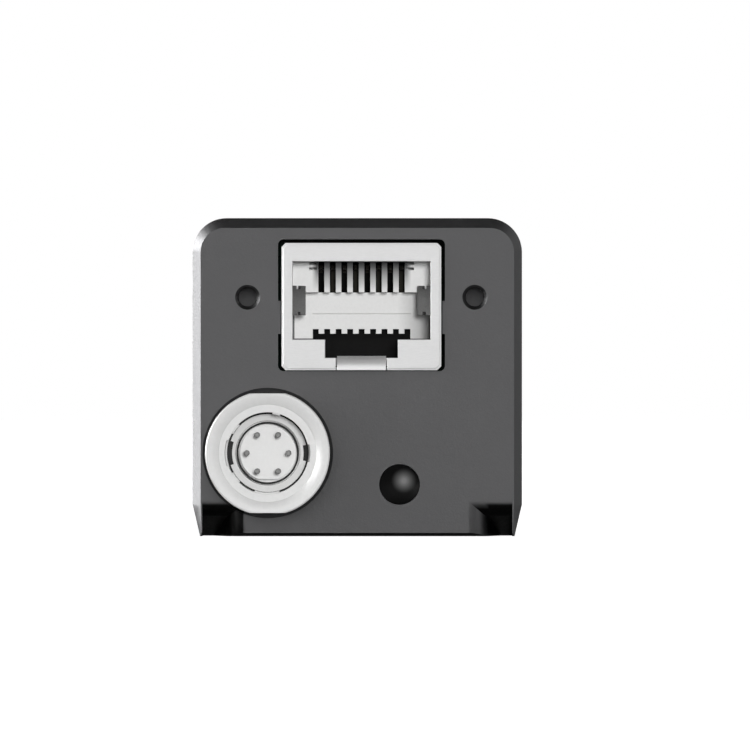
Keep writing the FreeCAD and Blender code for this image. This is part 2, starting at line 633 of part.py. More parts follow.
def front_housing():
    block = body_length(SPLIT_Y, HOUSING_LENGTH - FRONT_BEVEL)
    face = bevelled_end(HOUSING_LENGTH, HOUSING_LENGTH - FRONT_BEVEL, FRONT_BEVEL, FRONT_BEVEL,
                        FRONT_BEVEL / 2, 0)
    hollow = cavity(SPLIT_Y - 1, FRONT_WALL_Y).cut(join(corner_blocks(SPLIT_Y, FRONT_WALL_Y)))
    shell = block.fuse(face).cut(hollow)
    lip = cavity_ring(-SLIP_FIT, LIP_WALL, SPLIT_Y - LIP_LENGTH, SPLIT_Y + LIP_LENGTH)
    corners = corner_blocks(SPLIT_Y - LIP_LENGTH, SPLIT_Y + LIP_LENGTH)
    seat = box(-CAVITY_X + SLIP_FIT, CAVITY_X - SLIP_FIT, SPLIT_Y - LIP_LENGTH, SPLIT_Y + LIP_LENGTH,
               FLOOR_WALL + SLIP_FIT, CAVITY_TOP - SLIP_FIT)
    added = [lip] + [corner.common(seat) for corner in corners]
    for x, z in stack_places():
        added.append(rod(x, z, STACK_BOSS_RADIUS, PACKAGE_BACK_Y, FRONT_WALL_Y + FRONT_WALL / 4))
    shell = join([shell] + added)
    tools = [joint_groove(SPLIT_Y, SPLIT_Y + JOINT_GROOVE_LENGTH / 2)]
    tools.append(cavity_ring(SEAL_WIDTH, SEAL_WIDTH, SPLIT_Y, SPLIT_Y + SEAL_THICKNESS))
    tools.append(rod(0, AXIS_Z, SPIGOT_RADIUS + SLIP_FIT, HOUSING_LENGTH - SPIGOT_LENGTH,
                     HOUSING_LENGTH + 1))
    tools.append(rod(0, AXIS_Z, SENSOR_APERTURE_RADIUS, FRONT_WALL_Y - 1, HOUSING_LENGTH + 1))
    head_depth = HOUSING_HEAD_HEIGHT + HOUSING_HEAD_SINK
    for x, z in corner_places():
        tools.append(rod(x, z, HOUSING_SCREW_RADIUS + SCREW_CLEARANCE, SPLIT_Y - LIP_LENGTH - 1,
                         HOUSING_LENGTH + 1))
        tools.append(rod(x, z, HOUSING_HEAD_RADIUS + HOUSING_HEAD_CLEARANCE,
                         HOUSING_LENGTH - head_depth, HOUSING_LENGTH + 1))
    for x, z in stack_places():
        tools.append(rod(x, z, STACK_SCREW_RADIUS + THREAD_FIT, PACKAGE_BACK_Y - 1,
                         PACKAGE_BACK_Y + STACK_SCREW_REACH + TAP_RUNOUT))
    return remove(shell, tools)


def housing_seal():
    return cavity_ring(SEAL_WIDTH, SEAL_WIDTH, SPLIT_Y, SPLIT_Y + SEAL_THICKNESS)


def cap_screw(x, z, under_head, head_height, head_radius, shank_radius, length, way):
    """Socket head screw along Y; way is +1 where the shank points to +Y."""
    head = rod(x, z, head_radius, min(under_head, under_head - way * head_height),
               max(under_head, under_head - way * head_height))
    shank = rod(x, z, shank_radius, min(under_head, under_head + way * length),
                max(under_head, under_head + way * length))
    top = under_head - way * head_height
    depth = head_height / 2
    start = top if way > 0 else top - depth
    corners = []
    for index in range(6):
        turn = math.radians(60 * index)
        corners.append(Vector(x + head_radius / 2 * math.cos(turn), start,
                              z + head_radius / 2 * math.sin(turn)))
    return head.fuse(shank).removeSplitter().cut(prism(corners, Vector(0, depth, 0)))


def housing_screws():
    under_head = HOUSING_LENGTH - HOUSING_HEAD_HEIGHT - HOUSING_HEAD_SINK
    length = under_head - SPLIT_Y + LIP_LENGTH + HOUSING_SCREW_REACH
    return [cap_screw(x, z, under_head, HOUSING_HEAD_HEIGHT, HOUSING_HEAD_RADIUS,
                      HOUSING_SCREW_RADIUS, length, -1) for x, z in corner_places()]


def stack_screws():
    length = PACKAGE_BACK_Y + STACK_SCREW_REACH - INTERFACE_Y
    return [cap_screw(x, z, INTERFACE_Y, STACK_HEAD_HEIGHT, STACK_HEAD_RADIUS,
                      STACK_SCREW_RADIUS, length, 1) for x, z in stack_places()]


# ---------------------------------------------------------------- lens mount, filter and sensor
def lens_mount():
    barrel = rod(0, AXIS_Z, LENS_MOUNT_RADIUS, HOUSING_LENGTH + SHIM_THICKNESS,
                 FLANGE_Y - LENS_MOUNT_BEVEL)
    nose = cone(0, AXIS_Z, LENS_MOUNT_RADIUS, LENS_MOUNT_RADIUS - LENS_MOUNT_BEVEL,
                FLANGE_Y - LENS_MOUNT_BEVEL, FLANGE_Y)
    spigot = rod(0, AXIS_Z, SPIGOT_RADIUS, HOUSING_LENGTH - SPIGOT_LENGTH + SLIP_FIT,
                 HOUSING_LENGTH + SHIM_THICKNESS)
    body = barrel.fuse([nose, spigot]).removeSplitter()
    thread_y = FLANGE_Y - LENS_THREAD_LENGTH
    relief_y = RETAINER_Y + RETAINER_LENGTH + SLIP_FIT
    groove_y = FLANGE_Y - LENS_GROOVE_FROM_FLANGE - LENS_GROOVE_WIDTH
    tools = [
        rod(0, AXIS_Z, LENS_THREAD_RADIUS, thread_y, FLANGE_Y + 1),
        rod(0, AXIS_Z, LENS_RELIEF_RADIUS, relief_y, thread_y + 1),
        rod(0, AXIS_Z, FILTER_BORE, FILTER_SEAT_Y, relief_y + 1),
        rod(0, AXIS_Z, FILTER_APERTURE_RADIUS, HOUSING_LENGTH - SPIGOT_LENGTH - 1, FLANGE_Y),
        tube(0, AXIS_Z, LENS_MOUNT_RADIUS + 1, LENS_MOUNT_RADIUS - LENS_GROOVE_DEPTH, groove_y,
             groove_y + LENS_GROOVE_WIDTH),
    ]
    return remove(body, tools)


def lens_mount_shim():
    return tube(0, AXIS_Z, LENS_MOUNT_RADIUS, SPIGOT_RADIUS + SLIP_FIT, HOUSING_LENGTH,
                HOUSING_LENGTH + SHIM_THICKNESS)


def filter_seal():
    return tube(0, AXIS_Z, FILTER_RADIUS, FILTER_RADIUS - FILTER_SEAL_WALL, FILTER_SEAT_Y, FILTER_Y)


def filter_glass():
    return rod(0, AXIS_Z, FILTER_RADIUS, FILTER_Y, RETAINER_Y)


def filter_retainer():
    end = RETAINER_Y + RETAINER_LENGTH
    ring = tube(0, AXIS_Z, FILTER_RADIUS, FILTER_RADIUS - RETAINER_WALL, RETAINER_Y, end)
    slot = centred_box(0, AXIS_Z, 3 * FILTER_RADIUS, RETAINER_SLOT_WIDTH, end - RETAINER_SLOT_DEPTH,
                       end + 1)
    return ring.cut(slot)


def sensor_package():
    block = centred_box(0, AXIS_Z, PACKAGE_SIZE, PACKAGE_SIZE, PACKAGE_BACK_Y, PACKAGE_FRONT_Y)
    well = centred_box(0, AXIS_Z, PACKAGE_WELL, PACKAGE_WELL, PACKAGE_BACK_Y + PACKAGE_BASE,
                       PACKAGE_FRONT_Y + 1)
    return block.cut(well)


def sensor_die():
    return centred_box(0, AXIS_Z, DIE_WIDTH, DIE_HEIGHT, SENSOR_Y - DIE_THICKNESS, SENSOR_Y)


def sensor_cover_glass():
    return centred_box(0, AXIS_Z, COVER_GLASS_SIZE, COVER_GLASS_SIZE, PACKAGE_FRONT_Y, GLASS_FRONT_Y)


def sensor_gasket():
    outer = COVER_GLASS_SIZE
    inner = outer - 2 * SENSOR_GASKET_WALL
    ring = centred_box(0, AXIS_Z, outer, outer, GLASS_FRONT_Y, FRONT_WALL_Y)
    return ring.cut(centred_box(0, AXIS_Z, inner, inner, GLASS_FRONT_Y - 1, FRONT_WALL_Y + 1))


# ---------------------------------------------------------------- boards and what they carry
def board(y, thickness):
    """A board across the housing, notched to pass the corner bosses, with its screw holes."""
    half = CAVITY_X - BOARD_CLEARANCE
    low = FLOOR_WALL + BOARD_CLEARANCE
    high = CAVITY_TOP - BOARD_CLEARANCE
    plate = box(-half, half, y, y + thickness, low, high)
    notch_x = BOSS_X - BOARD_CLEARANCE
    notch_low = BOSS_LOW_Z + BOARD_CLEARANCE
    notch_high = BOSS_HIGH_Z - BOARD_CLEARANCE
    tools = []
    for side in (-1, 1):
        left, right = sorted((side * notch_x, side * (half + 1)))
        tools.append(box(left, right, y - 1, y + thickness + 1, low - 1, notch_low))
        tools.append(box(left, right, y - 1, y + thickness + 1, notch_high, high + 1))
    for x, z in stack_places():
        tools.append(rod(x, z, STACK_SCREW_RADIUS + SCREW_CLEARANCE, y - 1, y + thickness + 1))
    return remove(plate, tools)


def interface_board():
    plate = board(INTERFACE_Y, BOARD_THICKNESS)
    end = INTERFACE_Y + BOARD_THICKNESS + 1
    tools = [rod(x, z, ROUND_PIN_RADIUS + TAIL_HOLE_CLEARANCE, INTERFACE_Y - 1, end)
             for x, z in round_pin_places()]
    for x, z in contact_tails():
        tools.append(centred_box(x, z, CONTACT_WIDTH + 2 * TAIL_HOLE_CLEARANCE,
                                 CONTACT_THICKNESS + 2 * TAIL_HOLE_CLEARANCE, INTERFACE_Y - 1, end))
    for x in (JACK_LEFT + JACK_SHEET / 2, JACK_RIGHT - JACK_SHEET / 2):
        tools.append(centred_box(x, JACK_TAB_Z, JACK_SHEET + 2 * TAIL_HOLE_CLEARANCE,
                                 SHELL_TAB_WIDTH + 2 * TAIL_HOLE_CLEARANCE, INTERFACE_Y - 1, end))
    return remove(plate, tools)


def spacers(y0, y1):
    return [tube(x, z, SPACER_RADIUS, STACK_SCREW_RADIUS + SCREW_CLEARANCE, y0, y1)
            for x, z in stack_places()]


def link_pair(y0, y1, z):
    """Board-to-board connector: a socket on the rear board and a plug that enters it."""
    middle = y0 + (y1 - y0) * LINK_SOCKET_SHARE
    wall = LINK_HEIGHT / 5
    entry = (middle - y0) / 3
    socket = centred_box(LINK_X, z, LINK_WIDTH, LINK_HEIGHT, y0, middle)
    slot_width = LINK_WIDTH - 2 * wall
    slot_height = LINK_HEIGHT - 2 * wall
    socket = socket.cut(centred_box(LINK_X, z, slot_width, slot_height, middle - entry, middle + 1))
    plug = centred_box(LINK_X, z, LINK_WIDTH, LINK_HEIGHT, middle, y1)
    tongue = centred_box(LINK_X, z, slot_width - 2 * PLASTIC_FIT, slot_height - 2 * PLASTIC_FIT,
                         middle - entry + PLASTIC_FIT, middle)
    return socket, plug.fuse(tongue).removeSplitter()


def processor_chip():
    z = SPREADER_BOTTOM + SPREADER_WIDTH / 2
    return centred_box(0, z, PROCESSOR_SIZE, PROCESSOR_SIZE, PROCESSOR_Y - PROCESSOR_HEIGHT,
                       PROCESSOR_Y)


def thermal_pad():
    z = SPREADER_BOTTOM + SPREADER_WIDTH / 2
    back = PROCESSOR_Y - PROCESSOR_HEIGHT
    return centred_box(0, z, PROCESSOR_SIZE, PROCESSOR_SIZE, back - THERMAL_PAD_HEIGHT, back)


def heat_spreader():
    front = PROCESSOR_Y - PROCESSOR_HEIGHT - THERMAL_PAD_HEIGHT
    half = SPREADER_WIDTH / 2
    plate = box(-half, half, front - SPREADER_THICKNESS, front, SPREADER_BOTTOM, CAVITY_TOP)
    leg = box(-half, half, front - SPREADER_THICKNESS, front - SPREADER_THICKNESS + SPREADER_LEG,
              CAVITY_TOP - SPREADER_THICKNESS, CAVITY_TOP)
    behind_leg = PROCESSOR_Y - BOARD_CLEARANCE
    leg = leg.common(box(-half, half, 0, behind_leg, 0, HOUSING_HEIGHT))
    return plate.fuse(leg).removeSplitter()


def memory_chips():
    """Two chips side by side, level with the space between the stack's screws."""
    offset = (MEMORY_WIDTH + MEMORY_GAP) / 2
    return [centred_box(side * offset, MEMORY_Z, MEMORY_WIDTH, MEMORY_HEIGHT, FRONT_SPACER_Y,
                        FRONT_SPACER_Y + CHIP_THICKNESS) for side in (-1, 1)]


def clock_crystal():
    z = MEMORY_Z + MEMORY_HEIGHT / 2 + CRYSTAL_GAP + CRYSTAL_WIDTH / 2
    return centred_box(0, z, CRYSTAL_LENGTH, CRYSTAL_WIDTH, FRONT_SPACER_Y,
                       FRONT_SPACER_Y + CRYSTAL_HEIGHT)


def network_chip():
    front = INTERFACE_Y + BOARD_THICKNESS
    return centred_box(0, AXIS_Z - NETWORK_CHIP_DROP, NETWORK_CHIP_SIZE, NETWORK_CHIP_SIZE, front,
                       front + CHIP_THICKNESS)


def power_inductor():
    front = INTERFACE_Y + BOARD_THICKNESS
    z = ROUND_Z + ROUND_PIN_CIRCLE + INDUCTOR_PIN_GAP + INDUCTOR_SIZE / 2
    return centred_box(ROUND_X + INDUCTOR_SHIFT, z, INDUCTOR_SIZE, INDUCTOR_SIZE, front,
                       front + INDUCTOR_HEIGHT)


def capacitors():
    """Chip capacitors in a row low on the front of the processor board."""
    row = []
    for index in range(CAPACITOR_COUNT):
        x = (index - (CAPACITOR_COUNT - 1) / 2) * 2 * CAPACITOR_LENGTH
        row.append(centred_box(x, AXIS_Z - CAPACITOR_DROP, CAPACITOR_LENGTH, CAPACITOR_WIDTH,
                               FRONT_SPACER_Y, FRONT_SPACER_Y + CAPACITOR_HEIGHT))
    return row


def magnetics_module():
    half = MAGNETICS_WIDTH / 2
    return box(MAGNETICS_X - half, MAGNETICS_X + half, INTERFACE_Y - MAGNETICS_DEPTH, INTERFACE_Y,
               MAGNETICS_BOTTOM, MAGNETICS_TOP)


# ---------------------------------------------------------------- indicator
def indicator_light_pipe():
    end = INTERFACE_Y - LAMP_HEIGHT - LAMP_GAP
    pipe = rod(INDICATOR_X, INDICATOR_Z, INDICATOR_RADIUS, INDICATOR_SINK, end)
    ball = (INDICATOR_RADIUS ** 2 + INDICATOR_DISH_DEPTH ** 2) / (2 * INDICATOR_DISH_DEPTH)
    centre = Vector(INDICATOR_X, INDICATOR_SINK + INDICATOR_DISH_DEPTH - ball, INDICATOR_Z)
    return pipe.cut(Part.makeSphere(ball, centre))


def indicator_lamp():
    return centred_box(INDICATOR_X, INDICATOR_Z, LAMP_SIZE, LAMP_SIZE, INTERFACE_Y - LAMP_HEIGHT,
                       INTERFACE_Y)


# ---------------------------------------------------------------- network jack
def jack_block(inset, y0, y1):
    """The can's section, its four corners bevelled."""
    left = JACK_LEFT + inset
    right = JACK_RIGHT - inset
    low = JACK_BOTTOM_Z + inset
    high = JACK_TOP - inset
    cut = JACK_EDGE_BEVEL
    corners = [(left + cut, low), (right - cut, low), (right, low + cut), (right, high - cut),
               (right - cut, high), (left + cut, high), (left, high - cut), (left, low + cut)]
    return prism([Vector(x, y0, z) for x, z in corners], Vector(0, y1 - y0, 0))


def jack_spring(side):
    """Earthing spring: a strip folded in from the front edge that slopes into the plug's way."""
    wall = JACK_CENTRE_X + side * PLUG_WIDTH / 2
    start = JACK_FRONT_Y + JACK_SHEET / 2
    low = JACK_BOTTOM_Z + JACK_SPRING_RISE - JACK_SPRING_HEIGHT / 2
    bend = JACK_FRONT_Y + JACK_SPRING_START
    end = bend + JACK_SPRING_LENGTH
    thick = side * JACK_SPRING_SHEET
    tip = wall - side * JACK_SPRING_REACH
    root = wall + side * PLASTIC_FIT
    points = [(root, start), (root, bend), (tip, end), (tip + thick, end), (root + thick, bend),
              (root + thick, start)]
    strip = prism([Vector(x, y, low) for x, y in points], Vector(0, 0, JACK_SPRING_HEIGHT))
    middle = (bend + end) / 2
    half = JACK_SPRING_NOTCH_LENGTH / 2
    outer = wall + side * JACK_WIDTH
    left, right = sorted((tip - side * JACK_SPRING_SHEET, outer))
    for edge in (low, low + JACK_SPRING_HEIGHT):
        strip = strip.cut(box(left, right, middle - half, middle + half, edge - JACK_SPRING_NOTCH,
                              edge + JACK_SPRING_NOTCH))
    return strip


def network_jack_shield():
    back = INTERFACE_Y
    can = jack_block(0, JACK_FRONT_Y + JACK_SHEET / 2, back)
    small = jack_block(JACK_SHEET / 2, JACK_FRONT_Y, JACK_FRONT_Y + JACK_SHEET / 2)
    can = can.fuse(small).removeSplitter()
    inside = jack_block(JACK_SHEET, JACK_FRONT_Y + JACK_SHEET, back + 1)
    opening = centred_box(JACK_CENTRE_X, PLUG_BOTTOM + PLUG_HEIGHT / 2, PLUG_WIDTH, PLUG_HEIGHT,
                          JACK_FRONT_Y - 1, JACK_FRONT_Y + 1)
    latch = centred_box(JACK_CENTRE_X, PLUG_BOTTOM - LATCH_HEIGHT / 2, LATCH_WIDTH, LATCH_HEIGHT,
                        JACK_FRONT_Y - 1, JACK_FRONT_Y + 1)
    tongue_top = JACK_BOTTOM_Z + TONGUE_HEIGHT
    notch = box(JACK_CENTRE_X - TONGUE_WIDTH / 2 - TONGUE_GAP,
                JACK_CENTRE_X + TONGUE_WIDTH / 2 + TONGUE_GAP,
                JACK_FRONT_Y - 1, JACK_FRONT_Y + 2 * TONGUE_HEIGHT, JACK_BOTTOM_Z - 1, tongue_top)
    shell = remove(can, [inside, opening, latch, notch])
    roll = Part.makeCylinder(TONGUE_HEIGHT, TONGUE_WIDTH,
                             Vector(JACK_CENTRE_X - TONGUE_WIDTH / 2, JACK_FRONT_Y + TONGUE_HEIGHT,
                                    JACK_BOTTOM_Z), Vector(1, 0, 0))
    core = Part.makeCylinder(TONGUE_HEIGHT - JACK_SHEET, TONGUE_WIDTH,
                             Vector(JACK_CENTRE_X - TONGUE_WIDTH / 2, JACK_FRONT_Y + TONGUE_HEIGHT,
                                    JACK_BOTTOM_Z), Vector(1, 0, 0))
    quarter = box(JACK_CENTRE_X - TONGUE_WIDTH / 2, JACK_CENTRE_X + TONGUE_WIDTH / 2,
                  JACK_FRONT_Y - 1, JACK_FRONT_Y + TONGUE_HEIGHT, JACK_BOTTOM_Z, tongue_top + 1)
    tongue = roll.cut(core).common(quarter)
    flat = box(JACK_CENTRE_X - TONGUE_WIDTH / 2, JACK_CENTRE_X + TONGUE_WIDTH / 2,
               JACK_FRONT_Y + TONGUE_HEIGHT, JACK_FRONT_Y + 2 * TONGUE_HEIGHT + JACK_SHEET,
               tongue_top - JACK_SHEET, tongue_top)
    drop = box(JACK_CENTRE_X - TONGUE_WIDTH / 2, JACK_CENTRE_X + TONGUE_WIDTH / 2,
               JACK_FRONT_Y + 2 * TONGUE_HEIGHT, JACK_FRONT_Y + 2 * TONGUE_HEIGHT + JACK_SHEET,
               JACK_BOTTOM_Z + JACK_SHEET / 2, tongue_top)
    added = [tongue, flat, drop]
    for side in (-1, 1):
        added.append(jack_spring(side))
        wall = JACK_CENTRE_X + side * (JACK_WIDTH / 2 - JACK_SHEET / 2)
        added.append(centred_box(wall, JACK_TAB_Z, JACK_SHEET, SHELL_TAB_WIDTH, back - 1,
                                 back + SHELL_TAB_LENGTH))
    return join([shell] + added)


def contact_tails():
    """Tails leave the jack's back in two rows, taking turns."""
    return [(x, JACK_TOP - TAIL_ROWS[index % 2]) for index, x in enumerate(contact_places())]


def comb_slots():
    low = PLUG_TOP - COMB_HEIGHT
    tools = [centred_box(x, low + COMB_HEIGHT / 2, CONTACT_SLOT_WIDTH, COMB_HEIGHT,
                         PLUG_BACK_Y - COMB_LENGTH - 1, SLOT_BACK_Y)
             for x in contact_places()]
    reach = CONTACT_COUNT / 2 * CONTACT_PITCH
    for side in (-1, 1):
        for step in (0, 2):
            x = JACK_CENTRE_X + side * (reach + COMB_END_SLOT_LENGTH / 2 - PLASTIC_FIT)
            z = PLUG_TOP - (step + 0.5) * COMB_END_SLOT_HEIGHT
            tools.append(centred_box(x, z, COMB_END_SLOT_LENGTH, COMB_END_SLOT_HEIGHT,
                                     PLUG_BACK_Y - COMB_LENGTH - 1, PLUG_BACK_Y))
    return tools


def tail_recess(row_width):
    """Low slot in the cavity's back wall, with a notch over it between each two contacts."""
    tools = [centred_box(JACK_CENTRE_X, PLUG_BOTTOM + TAIL_SLOT_HEIGHT / 2, row_width,
                         TAIL_SLOT_HEIGHT, PLUG_BACK_Y - 1, SLOT_BACK_Y)]
    tooth_z = PLUG_BOTTOM + TAIL_SLOT_HEIGHT + TAIL_TOOTH_HEIGHT / 2
    for index in range(CONTACT_COUNT + 1):
        x = JACK_CENTRE_X + (index - CONTACT_COUNT / 2) * CONTACT_PITCH
        tools.append(centred_box(x, tooth_z, CONTACT_SLOT_WIDTH,
                                 TAIL_TOOTH_HEIGHT + TAIL_TOOTH_OVERLAP, PLUG_BACK_Y - 1,
                                 SLOT_BACK_Y))
    return tools


def jack_body():
    """The jack's inside, light moulding and dark carrier in one, before they are parted."""
    inset = JACK_SHEET + PLASTIC_FIT
    block = jack_block(inset, JACK_FRONT_Y + inset, INTERFACE_Y)
    cavity_front = JACK_FRONT_Y - 1
    plug = centred_box(JACK_CENTRE_X, PLUG_BOTTOM + PLUG_HEIGHT / 2, PLUG_WIDTH, PLUG_HEIGHT,
                       cavity_front, PLUG_BACK_Y)
    comb = centred_box(JACK_CENTRE_X, PLUG_TOP - COMB_HEIGHT / 2, PLUG_WIDTH, COMB_HEIGHT,
                       PLUG_BACK_Y - COMB_LENGTH, PLUG_BACK_Y)
    latch = centred_box(JACK_CENTRE_X, PLUG_BOTTOM - LATCH_HEIGHT / 2, LATCH_WIDTH, LATCH_HEIGHT,
                        cavity_front, CARRIER_Y)
    row_width = (CONTACT_COUNT + 0.5) * CONTACT_PITCH
    line_z = PLUG_BOTTOM + PLUG_HEIGHT / 3
    tongue_top = JACK_BOTTOM_Z + TONGUE_HEIGHT + PLASTIC_FIT
    tongue_end = JACK_FRONT_Y + 2 * TONGUE_HEIGHT + inset
    tools = [plug.cut(comb), latch] + comb_slots() + tail_recess(row_width)
    tools.append(centred_box(JACK_CENTRE_X, line_z, row_width, CAVITY_LINE_HEIGHT, PLUG_BACK_Y - 1,
                             PLUG_BACK_Y + CAVITY_LINE_DEPTH))
    tools.append(centred_box(JACK_CENTRE_X, tongue_top / 2, TONGUE_WIDTH + 2 * TONGUE_GAP,
                             tongue_top, cavity_front, tongue_end))
    for side in (-1, 1):
        wall = JACK_CENTRE_X + side * PLUG_WIDTH / 2
        depth = PLASTIC_FIT + JACK_SPRING_SHEET + PLASTIC_FIT
        tools.append(centred_box(wall, JACK_BOTTOM_Z + JACK_SPRING_RISE, 2 * depth,
                                 JACK_SPRING_HEIGHT + 2 * PLASTIC_FIT, cavity_front,
                                 JACK_FRONT_Y + JACK_SPRING_START + JACK_SPRING_LENGTH))
    for x, z in contact_tails():
        tools.append(centred_box(x, z, CONTACT_WIDTH, CONTACT_THICKNESS, SLOT_BACK_Y - 1,
                                 INTERFACE_Y + 1))
    return remove(block, tools)


def network_jack_housing():
    front = box(JACK_LEFT, JACK_RIGHT, JACK_FRONT_Y, CARRIER_Y, JACK_BOTTOM_Z, JACK_TOP)
    return jack_body().common(front)


def network_jack_carrier():
    back = box(JACK_LEFT, JACK_RIGHT, CARRIER_Y, INTERFACE_Y, JACK_BOTTOM_Z, JACK_TOP)
    return jack_body().common(back)


def network_jack_contacts():
    """Each contact: a blade along its slot's roof and a straight tail to the board."""
    blade_low = PLUG_TOP - CONTACT_TIP_SINK
    blade_high = PLUG_TOP - CONTACT_BLADE_TOP
    blade_under = blade_high - CONTACT_BEND
    tip_y = PLUG_BACK_Y - COMB_LENGTH + CONTACT_TIP_SETBACK
    tail_y = INTERFACE_Y + SHELL_TAB_LENGTH
    nose_y = tip_y + CONTACT_NOSE
    contacts = []
    for x, tail_z in contact_tails():
        high = tail_z + CONTACT_THICKNESS / 2
        low = tail_z - CONTACT_THICKNESS / 2
        bend_y = SLOT_BACK_Y - CONTACT_BEND
        points = [(tip_y, blade_low), (nose_y, blade_high)]
        if low < blade_under:
            points += [(bend_y, blade_high), (SLOT_BACK_Y, blade_low)]
        points += [(SLOT_BACK_Y, high), (tail_y, high), (tail_y, low)]
        if low < blade_under:
            points += [(bend_y, low), (bend_y, blade_under)]
        else:
            points += [(SLOT_BACK_Y, low)]
        points.append((nose_y, blade_under))
        left = x - CONTACT_WIDTH / 2
        contacts.append(prism([Vector(left, y, z) for y, z in points], Vector(CONTACT_WIDTH, 0, 0)))
    return contacts


# ---------------------------------------------------------------- round power connector
def power_connector_shell():
    x = ROUND_X
    z = ROUND_Z
    front = ROUND_FRONT_Y
    edge = ROUND_FLANGE_EDGE
    flange = rod(x, z, ROUND_FLANGE_RADIUS, front + edge, ROUND_SHOULDER_Y)
    rim = cone(x, z, ROUND_FLANGE_RADIUS - edge, ROUND_FLANGE_RADIUS, front, front + edge)
    flats = centred_box(x, z, 3 * ROUND_FLANGE_RADIUS, ROUND_FLANGE_FLATS, front - 1,
                        ROUND_SHOULDER_Y + 1)
    flange = flange.fuse(rim).removeSplitter().common(flats)
    neck = rod(x, z, ROUND_NECK_RADIUS, front + ROUND_DISH_DEPTH, NECK_END_Y)
    tail = rod(x, z, ROUND_TAIL_RADIUS, PANEL_WALL, TAIL_END_Y)
    body = join([flange, neck, tail])
    ledge_y = front + ROUND_DISH_DEPTH + ROUND_LEDGE_DEPTH
    tools = [
        cone(x, z, ROUND_DISH_OUTER, ROUND_DISH_INNER, front, front + ROUND_DISH_DEPTH),
        rod(x, z, ROUND_DISH_INNER, front, ledge_y),
        rod(x, z, ROUND_BORE_RADIUS, front, SOCKET_FLOOR_Y + ROUND_BORE_PAST_FLOOR),
        rod(x, z, SLEEVE_STEM, front, TAIL_END_Y + 1),
    ]
    for angle, half_width in ROUND_NOTCHES:
        tools.append(sector(x, z, ROUND_BORE_RADIUS + ROUND_RELIEF, ROUND_BORE_RADIUS / 2, front,
                            SOCKET_FLOOR_Y, angle, half_width))
    body = remove(body, tools)
    keys = [sector(x, z, ROUND_BORE_RADIUS + ROUND_RELIEF / 2, ROUND_BORE_RADIUS - ROUND_KEY_REACH,
                   ledge_y + ROUND_KEY_END_GAP, SOCKET_FLOOR_Y - ROUND_KEY_END_GAP, angle,
                   half_width)
            for angle, half_width in ROUND_KEYS]
    return join([body] + keys)


def power_connector_sleeve():
    """Ring on the socket's floor that holds the insulator, notched at both sides."""
    x = ROUND_X
    z = ROUND_Z
    face_end = SOCKET_FLOOR_Y + SLEEVE_FACE_LENGTH
    face = rod(x, z, SLEEVE_OUTER, SOCKET_FLOOR_Y, face_end)
    stem = rod(x, z, SLEEVE_STEM - SLIP_FIT, face_end, NECK_END_Y)
    ring = face.fuse(stem).removeSplitter()
    ring = ring.cut(rod(x, z, SLEEVE_INNER, SOCKET_FLOOR_Y - 1, NECK_END_Y + 1))
    notches = [sector(x, z, SLEEVE_OUTER + 1, SLEEVE_NOTCH_RADIUS, SOCKET_FLOOR_Y - 1,
                      SOCKET_FLOOR_Y + SLEEVE_NOTCH_DEPTH, angle, half_width)
               for angle, half_width in ROUND_NOTCHES]
    return remove(ring, notches)


def power_connector_insert():
    x = ROUND_X
    z = ROUND_Z
    face_y = SOCKET_FLOOR_Y - INSERT_RISE
    step_y = SOCKET_FLOOR_Y + INSERT_FACE_LENGTH
    face = rod(x, z, INSERT_RADIUS, face_y, step_y)
    flats = centred_box(x, z, 3 * INSERT_RADIUS, INSERT_FLATS, face_y - 1, step_y + 1)
    body = rod(x, z, SLEEVE_INNER - SLIP_FIT / 2, step_y, face_y + INSERT_LENGTH)
    block = join([face.common(flats), body])
    holes = [rod(px, pz, ROUND_PIN_RADIUS, face_y - 1, face_y + INSERT_LENGTH + 1)
             for px, pz in round_pin_places()]
    return remove(block, holes)


def power_connector_pins():
    tip = SOCKET_FLOOR_Y - INSERT_RISE - ROUND_PIN_RISE
    pins = []
    for x, z in round_pin_places():
        shank = rod(x, z, ROUND_PIN_RADIUS, tip + ROUND_PIN_RADIUS,
                    INTERFACE_Y + SHELL_TAB_LENGTH)
        ball = Part.makeSphere(ROUND_PIN_RADIUS, Vector(x, tip + ROUND_PIN_RADIUS, z))
        pins.append(shank.fuse(ball).removeSplitter())
    return pins


def power_connector_nut():
    ring = tube(ROUND_X, ROUND_Z, NUT_RADIUS, ROUND_NECK_RADIUS + THREAD_FIT, PANEL_WALL,
                PANEL_WALL + NUT_THICKNESS)
    end = PANEL_WALL + NUT_THICKNESS
    slots = [centred_box(ROUND_X, ROUND_Z, 3 * NUT_RADIUS, NUT_SLOT_WIDTH, end - NUT_SLOT_DEPTH,
                         end + 1)]
    return remove(ring, slots)


def power_connector_seal():
    return tube(ROUND_X, ROUND_Z, ROUND_FLANGE_FLATS / 2, ROUND_NECK_RADIUS + SLIP_FIT,
                ROUND_SHOULDER_Y, ROUND_SEAT_DEPTH)


